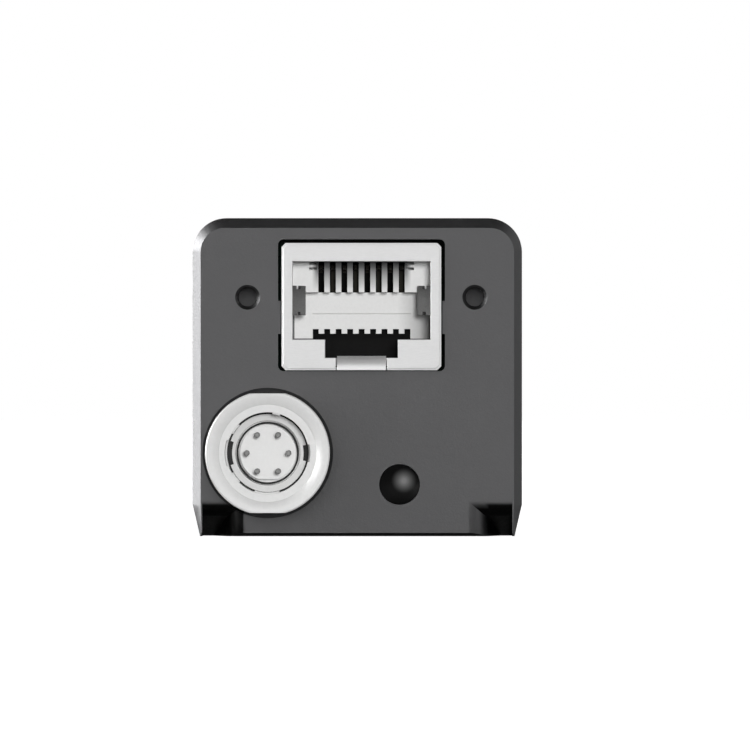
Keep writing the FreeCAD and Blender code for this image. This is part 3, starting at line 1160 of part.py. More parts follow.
# ---------------------------------------------------------------- write every node
def build():
    os.makedirs("parts", exist_ok=True)
    front_gap = (FRONT_SPACER_Y, SENSOR_BOARD_Y)
    rear_gap = (INTERFACE_Y + BOARD_THICKNESS, PROCESSOR_Y)
    rear_socket, rear_plug = link_pair(rear_gap[0], rear_gap[1], LINK_Z)
    front_socket, front_plug = link_pair(front_gap[0], front_gap[1], LINK_Z)
    singles = {
        "rear_housing": rear_housing(),
        "front_housing": front_housing(),
        "housing_seal": housing_seal(),
        "lens_mount": lens_mount(),
        "lens_mount_shim": lens_mount_shim(),
        "filter_seal": filter_seal(),
        "filter_glass": filter_glass(),
        "filter_retainer": filter_retainer(),
        "sensor_package": sensor_package(),
        "sensor_die": sensor_die(),
        "sensor_cover_glass": sensor_cover_glass(),
        "sensor_gasket": sensor_gasket(),
        "sensor_board": board(SENSOR_BOARD_Y, SENSOR_BOARD_THICKNESS),
        "processor_board": board(PROCESSOR_Y, BOARD_THICKNESS),
        "interface_board": interface_board(),
        "interface_link_socket": rear_socket,
        "processor_link_plug": rear_plug,
        "processor_link_socket": front_socket,
        "sensor_link_plug": front_plug,
        "processor_chip": processor_chip(),
        "thermal_pad": thermal_pad(),
        "heat_spreader": heat_spreader(),
        "clock_crystal": clock_crystal(),
        "network_chip": network_chip(),
        "power_inductor": power_inductor(),
        "magnetics_module": magnetics_module(),
        "indicator_light_pipe": indicator_light_pipe(),
        "indicator_lamp": indicator_lamp(),
        "network_jack_shield": network_jack_shield(),
        "network_jack_housing": network_jack_housing(),
        "network_jack_carrier": network_jack_carrier(),
        "power_connector_shell": power_connector_shell(),
        "power_connector_sleeve": power_connector_sleeve(),
        "power_connector_insert": power_connector_insert(),
        "power_connector_nut": power_connector_nut(),
        "power_connector_seal": power_connector_seal(),
    }
    groups = {
        "housing_screws": housing_screws(),
        "stack_screws": stack_screws(),
        "front_spacers": spacers(front_gap[0], front_gap[1]),
        "rear_spacers": spacers(rear_gap[0], rear_gap[1]),
        "memory_chips": memory_chips(),
        "capacitors": capacitors(),
        "network_jack_contacts": network_jack_contacts(),
        "power_connector_pins": power_connector_pins(),
    }
    for name, shape in singles.items():
        write(name, [shape])
    for name, shapes in groups.items():
        write(name, shapes)


build()
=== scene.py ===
"""Looks of the machine vision camera: finishes, fine thread, bond wires, studio and camera."""
import json
import math

import bpy
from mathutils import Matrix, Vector


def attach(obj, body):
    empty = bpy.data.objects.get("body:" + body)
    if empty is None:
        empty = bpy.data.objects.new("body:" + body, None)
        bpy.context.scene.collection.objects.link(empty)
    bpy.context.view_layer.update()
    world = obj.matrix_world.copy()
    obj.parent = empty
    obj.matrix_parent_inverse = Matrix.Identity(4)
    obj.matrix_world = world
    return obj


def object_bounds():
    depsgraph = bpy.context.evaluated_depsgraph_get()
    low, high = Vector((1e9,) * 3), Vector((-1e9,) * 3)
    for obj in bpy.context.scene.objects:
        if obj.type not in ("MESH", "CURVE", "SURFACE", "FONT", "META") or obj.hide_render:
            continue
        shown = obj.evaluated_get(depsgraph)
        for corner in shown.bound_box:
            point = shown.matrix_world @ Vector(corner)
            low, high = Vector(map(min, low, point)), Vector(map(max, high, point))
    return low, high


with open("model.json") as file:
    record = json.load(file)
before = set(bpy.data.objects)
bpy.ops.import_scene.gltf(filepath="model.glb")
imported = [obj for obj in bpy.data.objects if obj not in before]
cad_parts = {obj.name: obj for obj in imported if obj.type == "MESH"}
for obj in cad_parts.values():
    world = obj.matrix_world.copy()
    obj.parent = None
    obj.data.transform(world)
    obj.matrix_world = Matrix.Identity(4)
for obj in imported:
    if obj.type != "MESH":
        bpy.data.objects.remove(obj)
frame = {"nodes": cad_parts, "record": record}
CAD_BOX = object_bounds()
NODES = frame["nodes"]
MM = 0.001

# A pair of lengths is where a fade starts and where it ends.
# Zones of painted shade on the housing
PANEL_HOLE_SPACING = 20.0 * MM
PANEL_HOLE_CENTRE = 0.34 * MM
PANEL_HOLE_Z = 21.03 * MM
PANEL_HOLE_MOUTH = 1.10 * MM
PANEL_HOLE_FOOT = (3.8 * MM, 3.9 * MM)        # behind the panel
HOLE_SHADE = 0.60
SEAT_SHADE = 0.55
SEAT_MARGIN = 0.30 * MM                       # connector's flange to the rim of its seat
SUNK_START = (0.002 * MM, 0.02 * MM)          # behind the panel
ZONE_BLUR = 0.04 * MM
POCKET_RIGHT_WALL = (3.70 * MM, 2.90 * MM)    # in from the housing's right side
POCKET_LEFT_WALL = (4.74 * MM, 4.46 * MM)     # in from its left side
POCKET_OUTER_EDGE = (0.86 * MM, 0.80 * MM)    # in from either side
POCKET_ROOF_FACING = (0.02, 0.10)             # how far a face looks down
POCKET_ROOF_TOP = (2.40 * MM, 3.15 * MM)
POCKET_TOP = (2.70 * MM, 3.15 * MM)
POCKET_START = (0.003 * MM, 0.03 * MM)        # behind the panel
POCKET_END = (8.0 * MM, 9.0 * MM)

# Zones of painted shade on the jack
CAVITY_WALL = 0.56 * MM                       # moulding's side to the wall of its cavity
CAVITY_SILL = 2.31 * MM                       # moulding's foot to the floor of its cavity
CAVITY_LINE = (0.10 * MM, 0.16 * MM)          # in from the wall and up from the floor
CAVITY_BACK = (11.3 * MM, 11.5 * MM)          # behind the moulding's front
RIGHT_SHADE = 0.70
RIGHT_SIDE = (3.2 * MM, 6.0 * MM)             # right of the moulding's middle
COMB_SHADE = 0.96
COMB_RISE = (21.6 * MM, 23.7 * MM)
COMB_HALF_WIDTH = (4.0 * MM, 4.4 * MM)
COMB_END = (10.0 * MM, 10.2 * MM)             # behind the moulding's front
FOLD_START = (0.9 * MM, 1.5 * MM)             # behind the shield's front
FOLD_FOOT = (2.0 * MM, 2.2 * MM)              # above the shield's foot

# Indicator: painted highlight on the light pipe
HIGHLIGHT_OFFSET = Vector((0.39 * MM, 0, 0.33 * MM))
HIGHLIGHT_FADE = (0.15 * MM, 1.15 * MM)
HIGHLIGHT_FALLOFF = 1.5

# Edges
WORN_RADIUS = 0.00012
WEAR_GRAIN = 900.0
HOUSING_ROUND = 0.00010
SHELL_ROUND = 0.00004
WELD_DISTANCE = 0.000001
FLAT_ANGLE = 0.4                              # degrees
EDGE_ANGLE = 32.0                             # degrees

# Fine pieces
# Dark rings of painted shade deep in the power connector's two grooves
SHADE_RINGS = (                                     # name, outer and inner radius, depth
    ("socket_shade_ring", 3.59 * MM, 3.16 * MM, 0.35 * MM),
    ("insert_shade_ring", 2.75 * MM, 2.58 * MM, 0.25 * MM),
)
SHADE_RING_THICKNESS = 0.1 * MM
RING_SIDES = 96
THREAD_PITCH = 25.4 / 32 * MM
THREAD_ROOT = 12.71 * MM                      # sunk 0.01 mm into the bore's wall
THREAD_CREST = 12.28 * MM
THREAD_ROOT_HALF = 0.36 * THREAD_PITCH        # half the ridge's width at its root
THREAD_CREST_HALF = 0.06 * THREAD_PITCH       # and at its crest
THREAD_LENGTH = 4.9 * MM
THREAD_START = 0.35 * MM                      # behind the mount's front
THREAD_STEPS = 96                             # to a turn
WIRE_RADIUS = 0.018 * MM
WIRE_PAD_INSET = 0.12 * MM                    # in from the die's edge
WIRE_BEND_OUT = 0.05 * MM                     # out from the die's edge
WIRE_BEND_RISE = 0.14 * MM                    # in front of the die
WIRE_REACH = 0.55 * MM                        # out from the die's edge
WIRE_FOOT_RISE = 0.05 * MM
WIRES_EACH_WAY = 9                            # from the middle of a side

# Studio: levels of light, and directions as parts of a unit vector
ROOM_LEVEL = 0.26
LEFT_PANEL_LEVEL = 8.2                        # bright panel at the left, in reflections only
LEFT_PANEL_EDGE = (-0.72, -0.90)
RIGHT_FLAG_LEVEL = 0.35
RIGHT_FLAG_EDGE = (0.55, 0.85)
PANEL_HEIGHT_EDGE = (0.42, 0.86)
FLOOR_HALF = 4.0
FLOOR_DROP = 0.00002                          # keeps the floor clear of the base
FLOOR_GLOW = 0.84

# Camera
FRAME_WIDTH = 66.0 * MM
CAMERA_DISTANCE = 1.6
CAMERA_X = 1.56 * MM
CAMERA_Z = 14.19 * MM
CONNECTOR_STANDOUT = 4.0 * MM                 # panel's face to the front of the round connector


# ---------------------------------------------------------------- node helpers
def node_box(name):
    """Lowest and highest corner of a CAD node, in metres."""
    points = [vertex.co for vertex in NODES[name].data.vertices]
    low = Vector([min(point[axis] for point in points) for axis in range(3)])
    high = Vector([max(point[axis] for point in points) for axis in range(3)])
    return low, high


class Graph:
    """A node tree, with short calls to add and join nodes."""

    def __init__(self, tree):
        self.tree = tree

    def node(self, kind, **settings):
        made = self.tree.nodes.new(kind)
        for key, value in settings.items():
            setattr(made, key, value)
        return made

    def join(self, source, target):
        self.tree.links.new(source, target)

    def spread(self, source, low, high, from_low=0.3, from_high=0.7):
        ranged = self.node("ShaderNodeMapRange")
        ranged.inputs["From Min"].default_value = from_low
        ranged.inputs["From Max"].default_value = from_high
        ranged.inputs["To Min"].default_value = low
        ranged.inputs["To Max"].default_value = high
        self.join(source, ranged.inputs["Value"])
        return ranged.outputs["Result"]

    def mix(self, factor, first, second):
        mixed = self.node("ShaderNodeMix", data_type="RGBA")
        for socket, value in ((mixed.inputs[6], first), (mixed.inputs[7], second)):
            if hasattr(value, "is_linked"):
                self.join(value, socket)
            else:
                socket.default_value = (*value, 1.0)
        self.join(factor, mixed.inputs[0])
        return mixed.outputs[2]

    def math(self, operation, *values):
        made = self.node("ShaderNodeMath", operation=operation)
        for socket, value in zip(made.inputs, values):
            if hasattr(value, "is_linked"):
                self.join(value, socket)
            else:
                socket.default_value = value
        return made.outputs[0]


class Finish(Graph):
    """A new material's node tree, worked in the object's own coordinates."""

    def __init__(self, name):
        self.material = bpy.data.materials.new(name)
        self.material.use_nodes = True
        super().__init__(self.material.node_tree)
        self.shader = self.tree.nodes["Principled BSDF"]
        self.place = self.node("ShaderNodeTexCoord").outputs["Object"]

    def noise(self, scale, detail=3.0, roughness=0.5, stretch=None):
        texture = self.node("ShaderNodeTexNoise")
        texture.inputs["Scale"].default_value = scale
        texture.inputs["Detail"].default_value = detail
        texture.inputs["Roughness"].default_value = roughness
        source = self.place
        if stretch:
            mapping = self.node("ShaderNodeMapping")
            mapping.inputs["Scale"].default_value = stretch
            self.join(self.place, mapping.inputs["Vector"])
            source = mapping.outputs["Vector"]
        self.join(source, texture.inputs["Vector"])
        return texture.outputs["Fac"]

    def bump(self, height, distance, strength=1.0, normal=None):
        bump = self.node("ShaderNodeBump")
        bump.inputs["Distance"].default_value = distance
        bump.inputs["Strength"].default_value = strength
        self.join(height, bump.inputs["Height"])
        if normal:
            self.join(normal, bump.inputs["Normal"])
        return bump.outputs["Normal"]

    def edge_mask(self, radius):
        """1 along convex and concave edges, 0 on flat ground."""
        bevel = self.node("ShaderNodeBevel", samples=4)
        bevel.inputs["Radius"].default_value = radius
        geometry = self.node("ShaderNodeNewGeometry")
        dot = self.node("ShaderNodeVectorMath", operation="DOT_PRODUCT")
        self.join(bevel.outputs["Normal"], dot.inputs[0])
        self.join(geometry.outputs["Normal"], dot.inputs[1])
        return self.spread(self.math("SUBTRACT", 1.0, dot.outputs["Value"]), 0.0, 1.0, 0.02, 0.25)


def coated(name, colour, metallic, roughness, grain, grain_height, tone=0.08,
           rough_spread=0.08, stretch=None, worn=None, specular=0.5, edge_round=None,
           shade=None):
    """A finish with fine grain in its bump, roughness and colour, and lighter edges if worn."""
    graph = Finish(name)
    fine = graph.noise(grain, detail=4.0, roughness=0.6, stretch=stretch)
    broad = graph.noise(160.0, detail=2.0)
    dark = tuple(channel * (1 - tone) for channel in colour)
    light = tuple(min(1.0, channel * (1 + tone)) for channel in colour)
    tint = graph.mix(graph.spread(fine, 0.0, 1.0), dark, light)
    tint = graph.mix(graph.spread(broad, 0.0, 0.35), tint, light)
    if worn:
        patchy = graph.math("MULTIPLY", graph.edge_mask(WORN_RADIUS),
                            graph.spread(graph.noise(WEAR_GRAIN), 0.15, 0.9))
        tint = graph.mix(patchy, tint, worn)
    if shade:
        # painted shade: the mask mixes a dark colour into the tint
        mask, deep = shade
        tint = graph.mix(mask(graph), tint, deep)
    graph.join(tint, graph.shader.inputs["Base Color"])
    graph.join(graph.spread(fine, roughness - rough_spread, roughness + rough_spread),
               graph.shader.inputs["Roughness"])
    graph.shader.inputs["Metallic"].default_value = metallic
    graph.shader.inputs["Specular IOR Level"].default_value = specular
    base = None
    if edge_round:
        base = graph.node("ShaderNodeBevel", samples=6)
        base.inputs["Radius"].default_value = edge_round
        base = base.outputs["Normal"]
    graph.join(graph.bump(fine, grain_height, normal=base), graph.shader.inputs["Normal"])
    return graph.material


# ---------------------------------------------------------------- finishes
def housing_frame(graph):
    """Place across from the housing's middle plane, height and depth behind its panel."""
    low, high = node_box("rear_housing")
    split = graph.node("ShaderNodeSeparateXYZ")
    graph.join(graph.place, split.inputs[0])
    across = graph.math("SUBTRACT", split.outputs["X"], (low.x + high.x) / 2)
    depth = graph.math("SUBTRACT", split.outputs["Y"], low.y)
    return across, split.outputs["Z"], depth, (high.x - low.x) / 2


def pocket_painted_shade(graph):
    """Painted shade: 1 deep in the two bottom pockets, falling to 0 over their rounded lips."""
    across, height, depth, half = housing_frame(graph)
    reach = graph.math("ABSOLUTE", across)
    geometry = graph.node("ShaderNodeNewGeometry")
    facing = graph.node("ShaderNodeSeparateXYZ")
    graph.join(geometry.outputs["True Normal"], facing.inputs[0])
    roof = graph.spread(graph.math("MULTIPLY", facing.outputs["Z"], -1.0), 0.0, 1.0,
                        *POCKET_ROOF_FACING)
    right_wall = graph.spread(across, 0.0, 1.0, *(half - inset for inset in POCKET_RIGHT_WALL))
    left_wall = graph.spread(across, 0.0, 1.0, *(inset - half for inset in POCKET_LEFT_WALL))
    wall = graph.math("MAXIMUM", right_wall, left_wall)
    ceiling = graph.math("MULTIPLY", roof, graph.spread(height, 1.0, 0.0, *POCKET_ROOF_TOP))
    dark = graph.math("MAXIMUM", ceiling, wall)
    outer = graph.spread(reach, 1.0, 0.0, *(half - inset for inset in POCKET_OUTER_EDGE))
    low_part = graph.spread(height, 1.0, 0.0, *POCKET_TOP)
    near = graph.spread(depth, 1.0, 0.0, *POCKET_END)
    behind = graph.spread(depth, 0.0, 1.0, *POCKET_START)
    inside = graph.math("MULTIPLY", graph.math("MULTIPLY", outer, low_part),
                        graph.math("MULTIPLY", near, behind))
    return graph.math("MULTIPLY", dark, inside)


def round_zone(graph, sideways, rise, radius):
    """1 within a radius of an axis, 0 outside it."""
    squared = graph.math("ADD", graph.math("MULTIPLY", sideways, sideways),
                         graph.math("MULTIPLY", rise, rise))
    return graph.spread(graph.math("SQRT", squared), 1.0, 0.0, radius, radius + ZONE_BLUR)


def housing_shade(graph):
    """Painted shade: pockets, countersinks of the panel's two tapped holes, connector's seat."""
    across, height, depth, _ = housing_frame(graph)
    low, high = node_box("power_connector_shell")
    beside = graph.math("ABSOLUTE", graph.math("SUBTRACT", across, PANEL_HOLE_CENTRE))
    hole = round_zone(graph, graph.math("SUBTRACT", beside, PANEL_HOLE_SPACING / 2),
                      graph.math("SUBTRACT", height, PANEL_HOLE_Z), PANEL_HOLE_MOUTH)
    hole = graph.math("MULTIPLY", hole, graph.spread(depth, HOLE_SHADE, 0.0, *PANEL_HOLE_FOOT))
    seat = round_zone(graph, graph.math("SUBTRACT", across, (low.x + high.x) / 2),
                      graph.math("SUBTRACT", height, (low.z + high.z) / 2),
                      (high.x - low.x) / 2 + SEAT_MARGIN)
    seat = graph.math("MULTIPLY", seat, SEAT_SHADE)
    behind = graph.spread(depth, 0.0, 1.0, *SUNK_START)
    sunk = graph.math("MULTIPLY", graph.math("MAXIMUM", hole, seat), behind)
    return graph.math("MAXIMUM", pocket_painted_shade(graph), sunk)


def moulding_shade(graph):
    """Painted shade: a dark line round the jack cavity's foot, and on its right side and comb."""
    low, high = node_box("network_jack_housing")
    split = graph.node("ShaderNodeSeparateXYZ")
    graph.join(graph.place, split.inputs[0])
    across = graph.math("SUBTRACT", split.outputs["X"], (low.x + high.x) / 2)
    reach = graph.math("ABSOLUTE", across)
    wall = (high.x - low.x) / 2 - CAVITY_WALL
    sill = low.z + CAVITY_SILL
    line_full, line_end = CAVITY_LINE
    side = graph.spread(reach, 0.0, 1.0, wall - line_end, wall - line_full)
    foot = graph.spread(split.outputs["Z"], 1.0, 0.0, sill + line_full, sill + line_end)
    deep = graph.spread(split.outputs["Y"], 0.0, 1.0, *(low.y + back for back in CAVITY_BACK))
    rim = graph.math("MULTIPLY", graph.math("MAXIMUM", side, foot), deep)
    right = graph.math("MULTIPLY", graph.spread(across, 0.0, RIGHT_SHADE, *RIGHT_SIDE), deep)
    comb = graph.math("MULTIPLY", graph.spread(split.outputs["Z"], 0.0, COMB_SHADE, *COMB_RISE),
                      graph.spread(reach, 1.0, 0.0, *COMB_HALF_WIDTH))
    front = graph.spread(split.outputs["Y"], 1.0, 0.0, *(low.y + end for end in COMB_END))
    comb = graph.math("MULTIPLY", comb, front)
    return graph.math("MAXIMUM", graph.math("MAXIMUM", rim, right), comb)


def folded_shade(graph):
    """Painted shade: 0 on the shield's front sheet, 1 on what is folded in behind it."""
    low, high = node_box("network_jack_shield")
    split = graph.node("ShaderNodeSeparateXYZ")
    graph.join(graph.place, split.inputs[0])
    behind = graph.spread(split.outputs["Y"], 0.0, 1.0, *(low.y + start for start in FOLD_START))
    above = graph.spread(split.outputs["Z"], 0.0, 1.0, *(low.z + foot for foot in FOLD_FOOT))
    return graph.math("MULTIPLY", behind, above)


# A coat's shade holds a mask of painted shade and the dark colour that it mixes in.
COATS = {
    "housing_coat": dict(
        colour=(0.163, 0.163, 0.166), metallic=0.95, roughness=0.42, grain=5200.0,
        grain_height=0.000010, tone=0.05, worn=(0.26, 0.26, 0.265),
        shade=(housing_shade, (0.006, 0.006, 0.006))),
    "mount_anodised": dict(
        colour=(0.050, 0.050, 0.053), metallic=0.6, roughness=0.32, grain=2600.0,
        grain_height=0.000004, stretch=(1.0, 9.0, 1.0), worn=(0.16, 0.16, 0.165), tone=0.10,
        edge_round=0.00008),
    "screw_steel": dict(
        colour=(0.17, 0.17, 0.175), metallic=0.9, roughness=0.34, grain=3800.0,
        grain_height=0.000004, worn=(0.40, 0.40, 0.41)),
    "connector_nickel": dict(
        colour=(0.71, 0.71, 0.705), metallic=0.25, roughness=0.42, grain=3000.0,
        grain_height=0.000003, tone=0.03, rough_spread=0.05),
    "jack_tinplate": dict(
        colour=(0.84, 0.84, 0.84), metallic=0.60, roughness=0.36, grain=2400.0,
        grain_height=0.000003, tone=0.03, stretch=(1.0, 1.0, 6.0), rough_spread=0.05,
        edge_round=0.00008, shade=(folded_shade, (0.055, 0.055, 0.055))),
    "jack_plastic": dict(
        colour=(0.70, 0.70, 0.695), metallic=0.0, roughness=0.42, grain=4200.0,
        grain_height=0.000006, tone=0.03, edge_round=0.00006,
        shade=(moulding_shade, (0.09, 0.09, 0.09))),
    "connector_insulator": dict(
        colour=(0.71, 0.71, 0.705), metallic=0.0, roughness=0.40, grain=4200.0,
        grain_height=0.000004, tone=0.02),
    # contact_gold is darkened to near black: painted shade for contacts deep in their slots
    "contact_gold": dict(
        colour=(0.050, 0.046, 0.038), metallic=0.6, roughness=0.40, grain=3000.0,
        grain_height=0.000002, tone=0.05),
    "pin_nickel": dict(
        colour=(0.24, 0.24, 0.237), metallic=0.1, roughness=0.55, grain=3000.0,
        grain_height=0.000002, tone=0.05),
    "jack_dark_plastic": dict(
        colour=(0.006, 0.006, 0.006), metallic=0.0, roughness=0.60, grain=4200.0,
        grain_height=0.000006, specular=0.2),
    "brass_plain": dict(
        colour=(0.62, 0.52, 0.30), metallic=0.95, roughness=0.30, grain=2600.0,
        grain_height=0.000003, stretch=(1.0, 7.0, 1.0)),
    "seal_rubber": dict(
        colour=(0.022, 0.022, 0.022), metallic=0.0, roughness=0.72, grain=3600.0,
        grain_height=0.00001),
    "pad_silicone": dict(
        colour=(0.34, 0.41, 0.48), metallic=0.0, roughness=0.75, grain=1800.0,
        grain_height=0.00002),
    "sensor_ceramic": dict(
        colour=(0.085, 0.078, 0.072), metallic=0.0, roughness=0.55, grain=5200.0,
        grain_height=0.000006),
    "chip_epoxy": dict(
        colour=(0.020, 0.020, 0.022), metallic=0.0, roughness=0.52, grain=6200.0,
        grain_height=0.000008, tone=0.2),
    "link_plastic": dict(
        colour=(0.048, 0.044, 0.040), metallic=0.0, roughness=0.45, grain=4200.0,
        grain_height=0.000006),
    "crystal_can": dict(
        colour=(0.66, 0.66, 0.64), metallic=0.9, roughness=0.30, grain=2600.0,
        grain_height=0.000003),
    "spreader_aluminium": dict(
        colour=(0.70, 0.70, 0.71), metallic=0.95, roughness=0.36, grain=2200.0,
        grain_height=0.000004, stretch=(8.0, 1.0, 1.0)),
    "lamp_body": dict(
        colour=(0.74, 0.73, 0.69), metallic=0.0, roughness=0.35, grain=3600.0,
        grain_height=0.000004),
    "bond_gold": dict(
        colour=(0.80, 0.58, 0.25), metallic=1.0, roughness=0.28, grain=3000.0,
        grain_height=0.000001, tone=0.05),
}


def board_laminate():
    graph = Finish("board_laminate")
    weave = graph.node("ShaderNodeTexBrick")
    weave.inputs["Scale"].default_value = 1400.0
    weave.inputs["Mortar Size"].default_value = 0.04
    graph.join(graph.place, weave.inputs["Vector"])
    tint = graph.mix(graph.spread(graph.noise(420.0, detail=5.0), 0.0, 1.0), (0.003, 0.009, 0.006),
                     (0.006, 0.016, 0.010))
    graph.join(tint, graph.shader.inputs["Base Color"])
    graph.join(graph.spread(graph.noise(2200.0), 0.26, 0.38), graph.shader.inputs["Roughness"])
    graph.join(graph.bump(weave.outputs["Fac"], 0.000006, 0.4), graph.shader.inputs["Normal"])
    return graph.material


def light_pipe():
    """Smoked plastic with a painted highlight, soft and lighter, above and right of its middle."""
    graph = Finish("light_pipe")
    low, high = node_box("indicator_light_pipe")
    highlight_centre = (low + high) / 2 + HIGHLIGHT_OFFSET
    offset = graph.node("ShaderNodeVectorMath", operation="SUBTRACT")
    graph.join(graph.place, offset.inputs[0])
    offset.inputs[1].default_value = highlight_centre
    flat = graph.node("ShaderNodeVectorMath", operation="MULTIPLY")
    graph.join(offset.outputs[0], flat.inputs[0])
    flat.inputs[1].default_value = (1.0, 0.0, 1.0)
    distance = graph.node("ShaderNodeVectorMath", operation="LENGTH")
    graph.join(flat.outputs[0], distance.inputs[0])
    # painted highlight: lighter towards its centre
    glow = graph.spread(distance.outputs["Value"], 1.0, 0.0, *HIGHLIGHT_FADE)
    shaped = graph.math("POWER", glow, HIGHLIGHT_FALLOFF)
    graph.join(graph.mix(shaped, (0.003, 0.003, 0.003), (0.165, 0.165, 0.165)),
               graph.shader.inputs["Base Color"])
    fine = graph.noise(2400.0)
    graph.join(graph.spread(fine, 0.34, 0.42), graph.shader.inputs["Roughness"])
    graph.shader.inputs["Specular IOR Level"].default_value = 0.10
    graph.join(graph.bump(fine, 0.000002), graph.shader.inputs["Normal"])
    return graph.material


def optical_glass():
    graph = Finish("optical_glass")
    graph.shader.inputs["Base Color"].default_value = (0.80, 0.90, 0.93, 1.0)
    graph.shader.inputs["Transmission Weight"].default_value = 0.94
    graph.shader.inputs["IOR"].default_value = 1.45
    graph.shader.inputs["Coat Weight"].default_value = 0.35
    graph.shader.inputs["Coat Tint"].default_value = (0.75, 0.55, 0.95, 1.0)
    graph.join(graph.spread(graph.noise(700.0), 0.01, 0.04), graph.shader.inputs["Roughness"])
    return graph.material


def sensor_silicon():
    """Fine cells all over the die."""
    graph = Finish("sensor_silicon")
    cells = graph.node("ShaderNodeTexVoronoi", feature="DISTANCE_TO_EDGE")
    cells.inputs["Scale"].default_value = 1500.0
    graph.join(graph.place, cells.inputs["Vector"])
    tint = graph.mix(graph.spread(cells.outputs["Distance"], 0.0, 1.0, 0.0, 0.1),
                     (0.10, 0.085, 0.06), (0.050, 0.060, 0.085))
    graph.join(tint, graph.shader.inputs["Base Color"])
    graph.shader.inputs["Metallic"].default_value = 0.75
    graph.join(graph.spread(graph.noise(900.0), 0.14, 0.22), graph.shader.inputs["Roughness"])
    return graph.material


SPECIAL_FINISHES = {
    "optical_glass": optical_glass, "sensor_silicon": sensor_silicon,
    "board_laminate": board_laminate, "light_pipe": light_pipe,
}


def dress_nodes():
    """Give every CAD node its finish."""
    made = {slot: coated(slot, **look) for slot, look in COATS.items()}
    made.update({slot: maker() for slot, maker in SPECIAL_FINISHES.items()})
    slots = {part["node"]: part["material_slot"] for part in frame["record"]["subparts"]}
    for name, node in NODES.items():
        node.data.materials.clear()
        node.data.materials.append(made[slots[name]])


def soften(name, width):
    """Round a node's edges a little, with its flat faces kept flat in the shading."""
    node = NODES[name]
    weld = node.modifiers.new("weld", "WELD")
    weld.merge_threshold = WELD_DISTANCE
    flats = node.modifiers.new("flats", "DECIMATE")
    flats.decimate_type = "DISSOLVE"
    flats.angle_limit = math.radians(FLAT_ANGLE)
    bevel = node.modifiers.new("edge_round", "BEVEL")
    bevel.width = width
    bevel.segments = 2
    bevel.limit_method = "ANGLE"
    bevel.angle_limit = math.radians(EDGE_ANGLE)
    bevel.use_clamp_overlap = True
    normals = node.modifiers.new("even_normals", "WEIGHTED_NORMAL")
    normals.weight = 50
    normals.keep_sharp = False


# ---------------------------------------------------------------- fine pieces
# lens_thread and the two rings of painted shade wear the frame's plain materials, found by
# name. The finishes made above carry a number after those names, as the names are taken.
def add_object(name, data):
    made = bpy.data.objects.new(name, data)
    bpy.context.scene.collection.objects.link(made)
    return made


def flat_ring(name, centre, outer, inner, material):
    """Flat ring square to Y, its front face at the centre given."""
    points = []
    for y in (0.0, SHADE_RING_THICKNESS):
        for radius in (outer, inner):
            for index in range(RING_SIDES):
                turn = 2 * math.pi * index / RING_SIDES
                spoke = Vector((radius * math.cos(turn), y, radius * math.sin(turn)))
                points.append(centre + spoke)
    faces = []
    front_outer, front_inner, back_outer, back_inner = (band * RING_SIDES for band in range(4))
    for index in range(RING_SIDES):
        after = (index + 1) % RING_SIDES
        for first, second in ((front_outer, front_inner), (front_inner, back_inner),
                              (back_inner, back_outer), (back_outer, front_outer)):
            faces.append((first + index, first + after, second + after, second + index))
    mesh = bpy.data.meshes.new(name)
    mesh.from_pydata(points, [], faces)
    mesh.materials.append(bpy.data.materials[material])
    ring = add_object(name, mesh)
    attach(ring, "root")
    return ring


def lens_thread():
    """Ridge of the lens thread: 32 turns an inch, wound once round for each pitch."""
    low, high = node_box("lens_mount")
    centre_x = (low.x + high.x) / 2
    centre_z = (low.z + high.z) / 2
    count = int(THREAD_LENGTH / THREAD_PITCH * THREAD_STEPS)
    start = high.y - THREAD_START - THREAD_PITCH / 2
    profile = ((THREAD_ROOT, -THREAD_ROOT_HALF), (THREAD_CREST, -THREAD_CREST_HALF),
               (THREAD_CREST, THREAD_CREST_HALF), (THREAD_ROOT, THREAD_ROOT_HALF))
    points = []
    for index in range(count + 1):
        turn = 2 * math.pi * index / THREAD_STEPS
        y = start - THREAD_PITCH * index / THREAD_STEPS
        for radius, offset in profile:
            points.append((centre_x + radius * math.cos(turn), y + offset,
                           centre_z + radius * math.sin(turn)))
    faces = [(3, 2, 1, 0)]
    for index in range(count):
        here = 4 * index
        there = here + 4
        for side in range(4):
            after = (side + 1) % 4
            faces.append((here + side, here + after, there + after, there + side))
    last = 4 * count
    faces.append((last, last + 1, last + 2, last + 3))
    mesh = bpy.data.meshes.new("lens_thread")
    mesh.from_pydata(points, [], faces)
    mesh.materials.append(bpy.data.materials["mount_anodised"])
    ridge = add_object("lens_thread", mesh)
    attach(ridge, "root")


def bond_wires():
    """Fine gold wires from the die's edge down to the package's ledge, a row on each side."""
    die_low, die_high = node_box("sensor_die")
    centre = (die_low + die_high) / 2
    floor_y = die_low.y + WIRE_FOOT_RISE
    top_y = die_high.y
    curve = bpy.data.curves.new("bond_wires", "CURVE")
    curve.dimensions = "3D"
    curve.bevel_depth = WIRE_RADIUS
    curve.bevel_resolution = 1
    half_x = (die_high.x - die_low.x) / 2
    half_z = (die_high.z - die_low.z) / 2
    for side in (-1, 1):
        for along in range(-WIRES_EACH_WAY, WIRES_EACH_WAY + 1):
            for across_x in (True, False):
                extent = half_x if across_x else half_z
                run = (half_z if across_x else half_x) * along / (WIRES_EACH_WAY + 1)
                stops = ((extent - WIRE_PAD_INSET, top_y),
                         (extent + WIRE_BEND_OUT, top_y + WIRE_BEND_RISE),
                         (extent + WIRE_REACH, floor_y))
                spline = curve.splines.new("POLY")
                spline.points.add(len(stops) - 1)
                for point, (out, y) in zip(spline.points, stops):
                    if across_x:
                        place = (centre.x + side * out, y, centre.z + run)
                    else:
                        place = (centre.x + run, y, centre.z + side * out)
                    point.co = (*place, 1.0)
    curve.materials.append(bpy.data.materials["bond_gold"])
    wires = add_object("bond_wires", curve)
    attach(wires, "root")


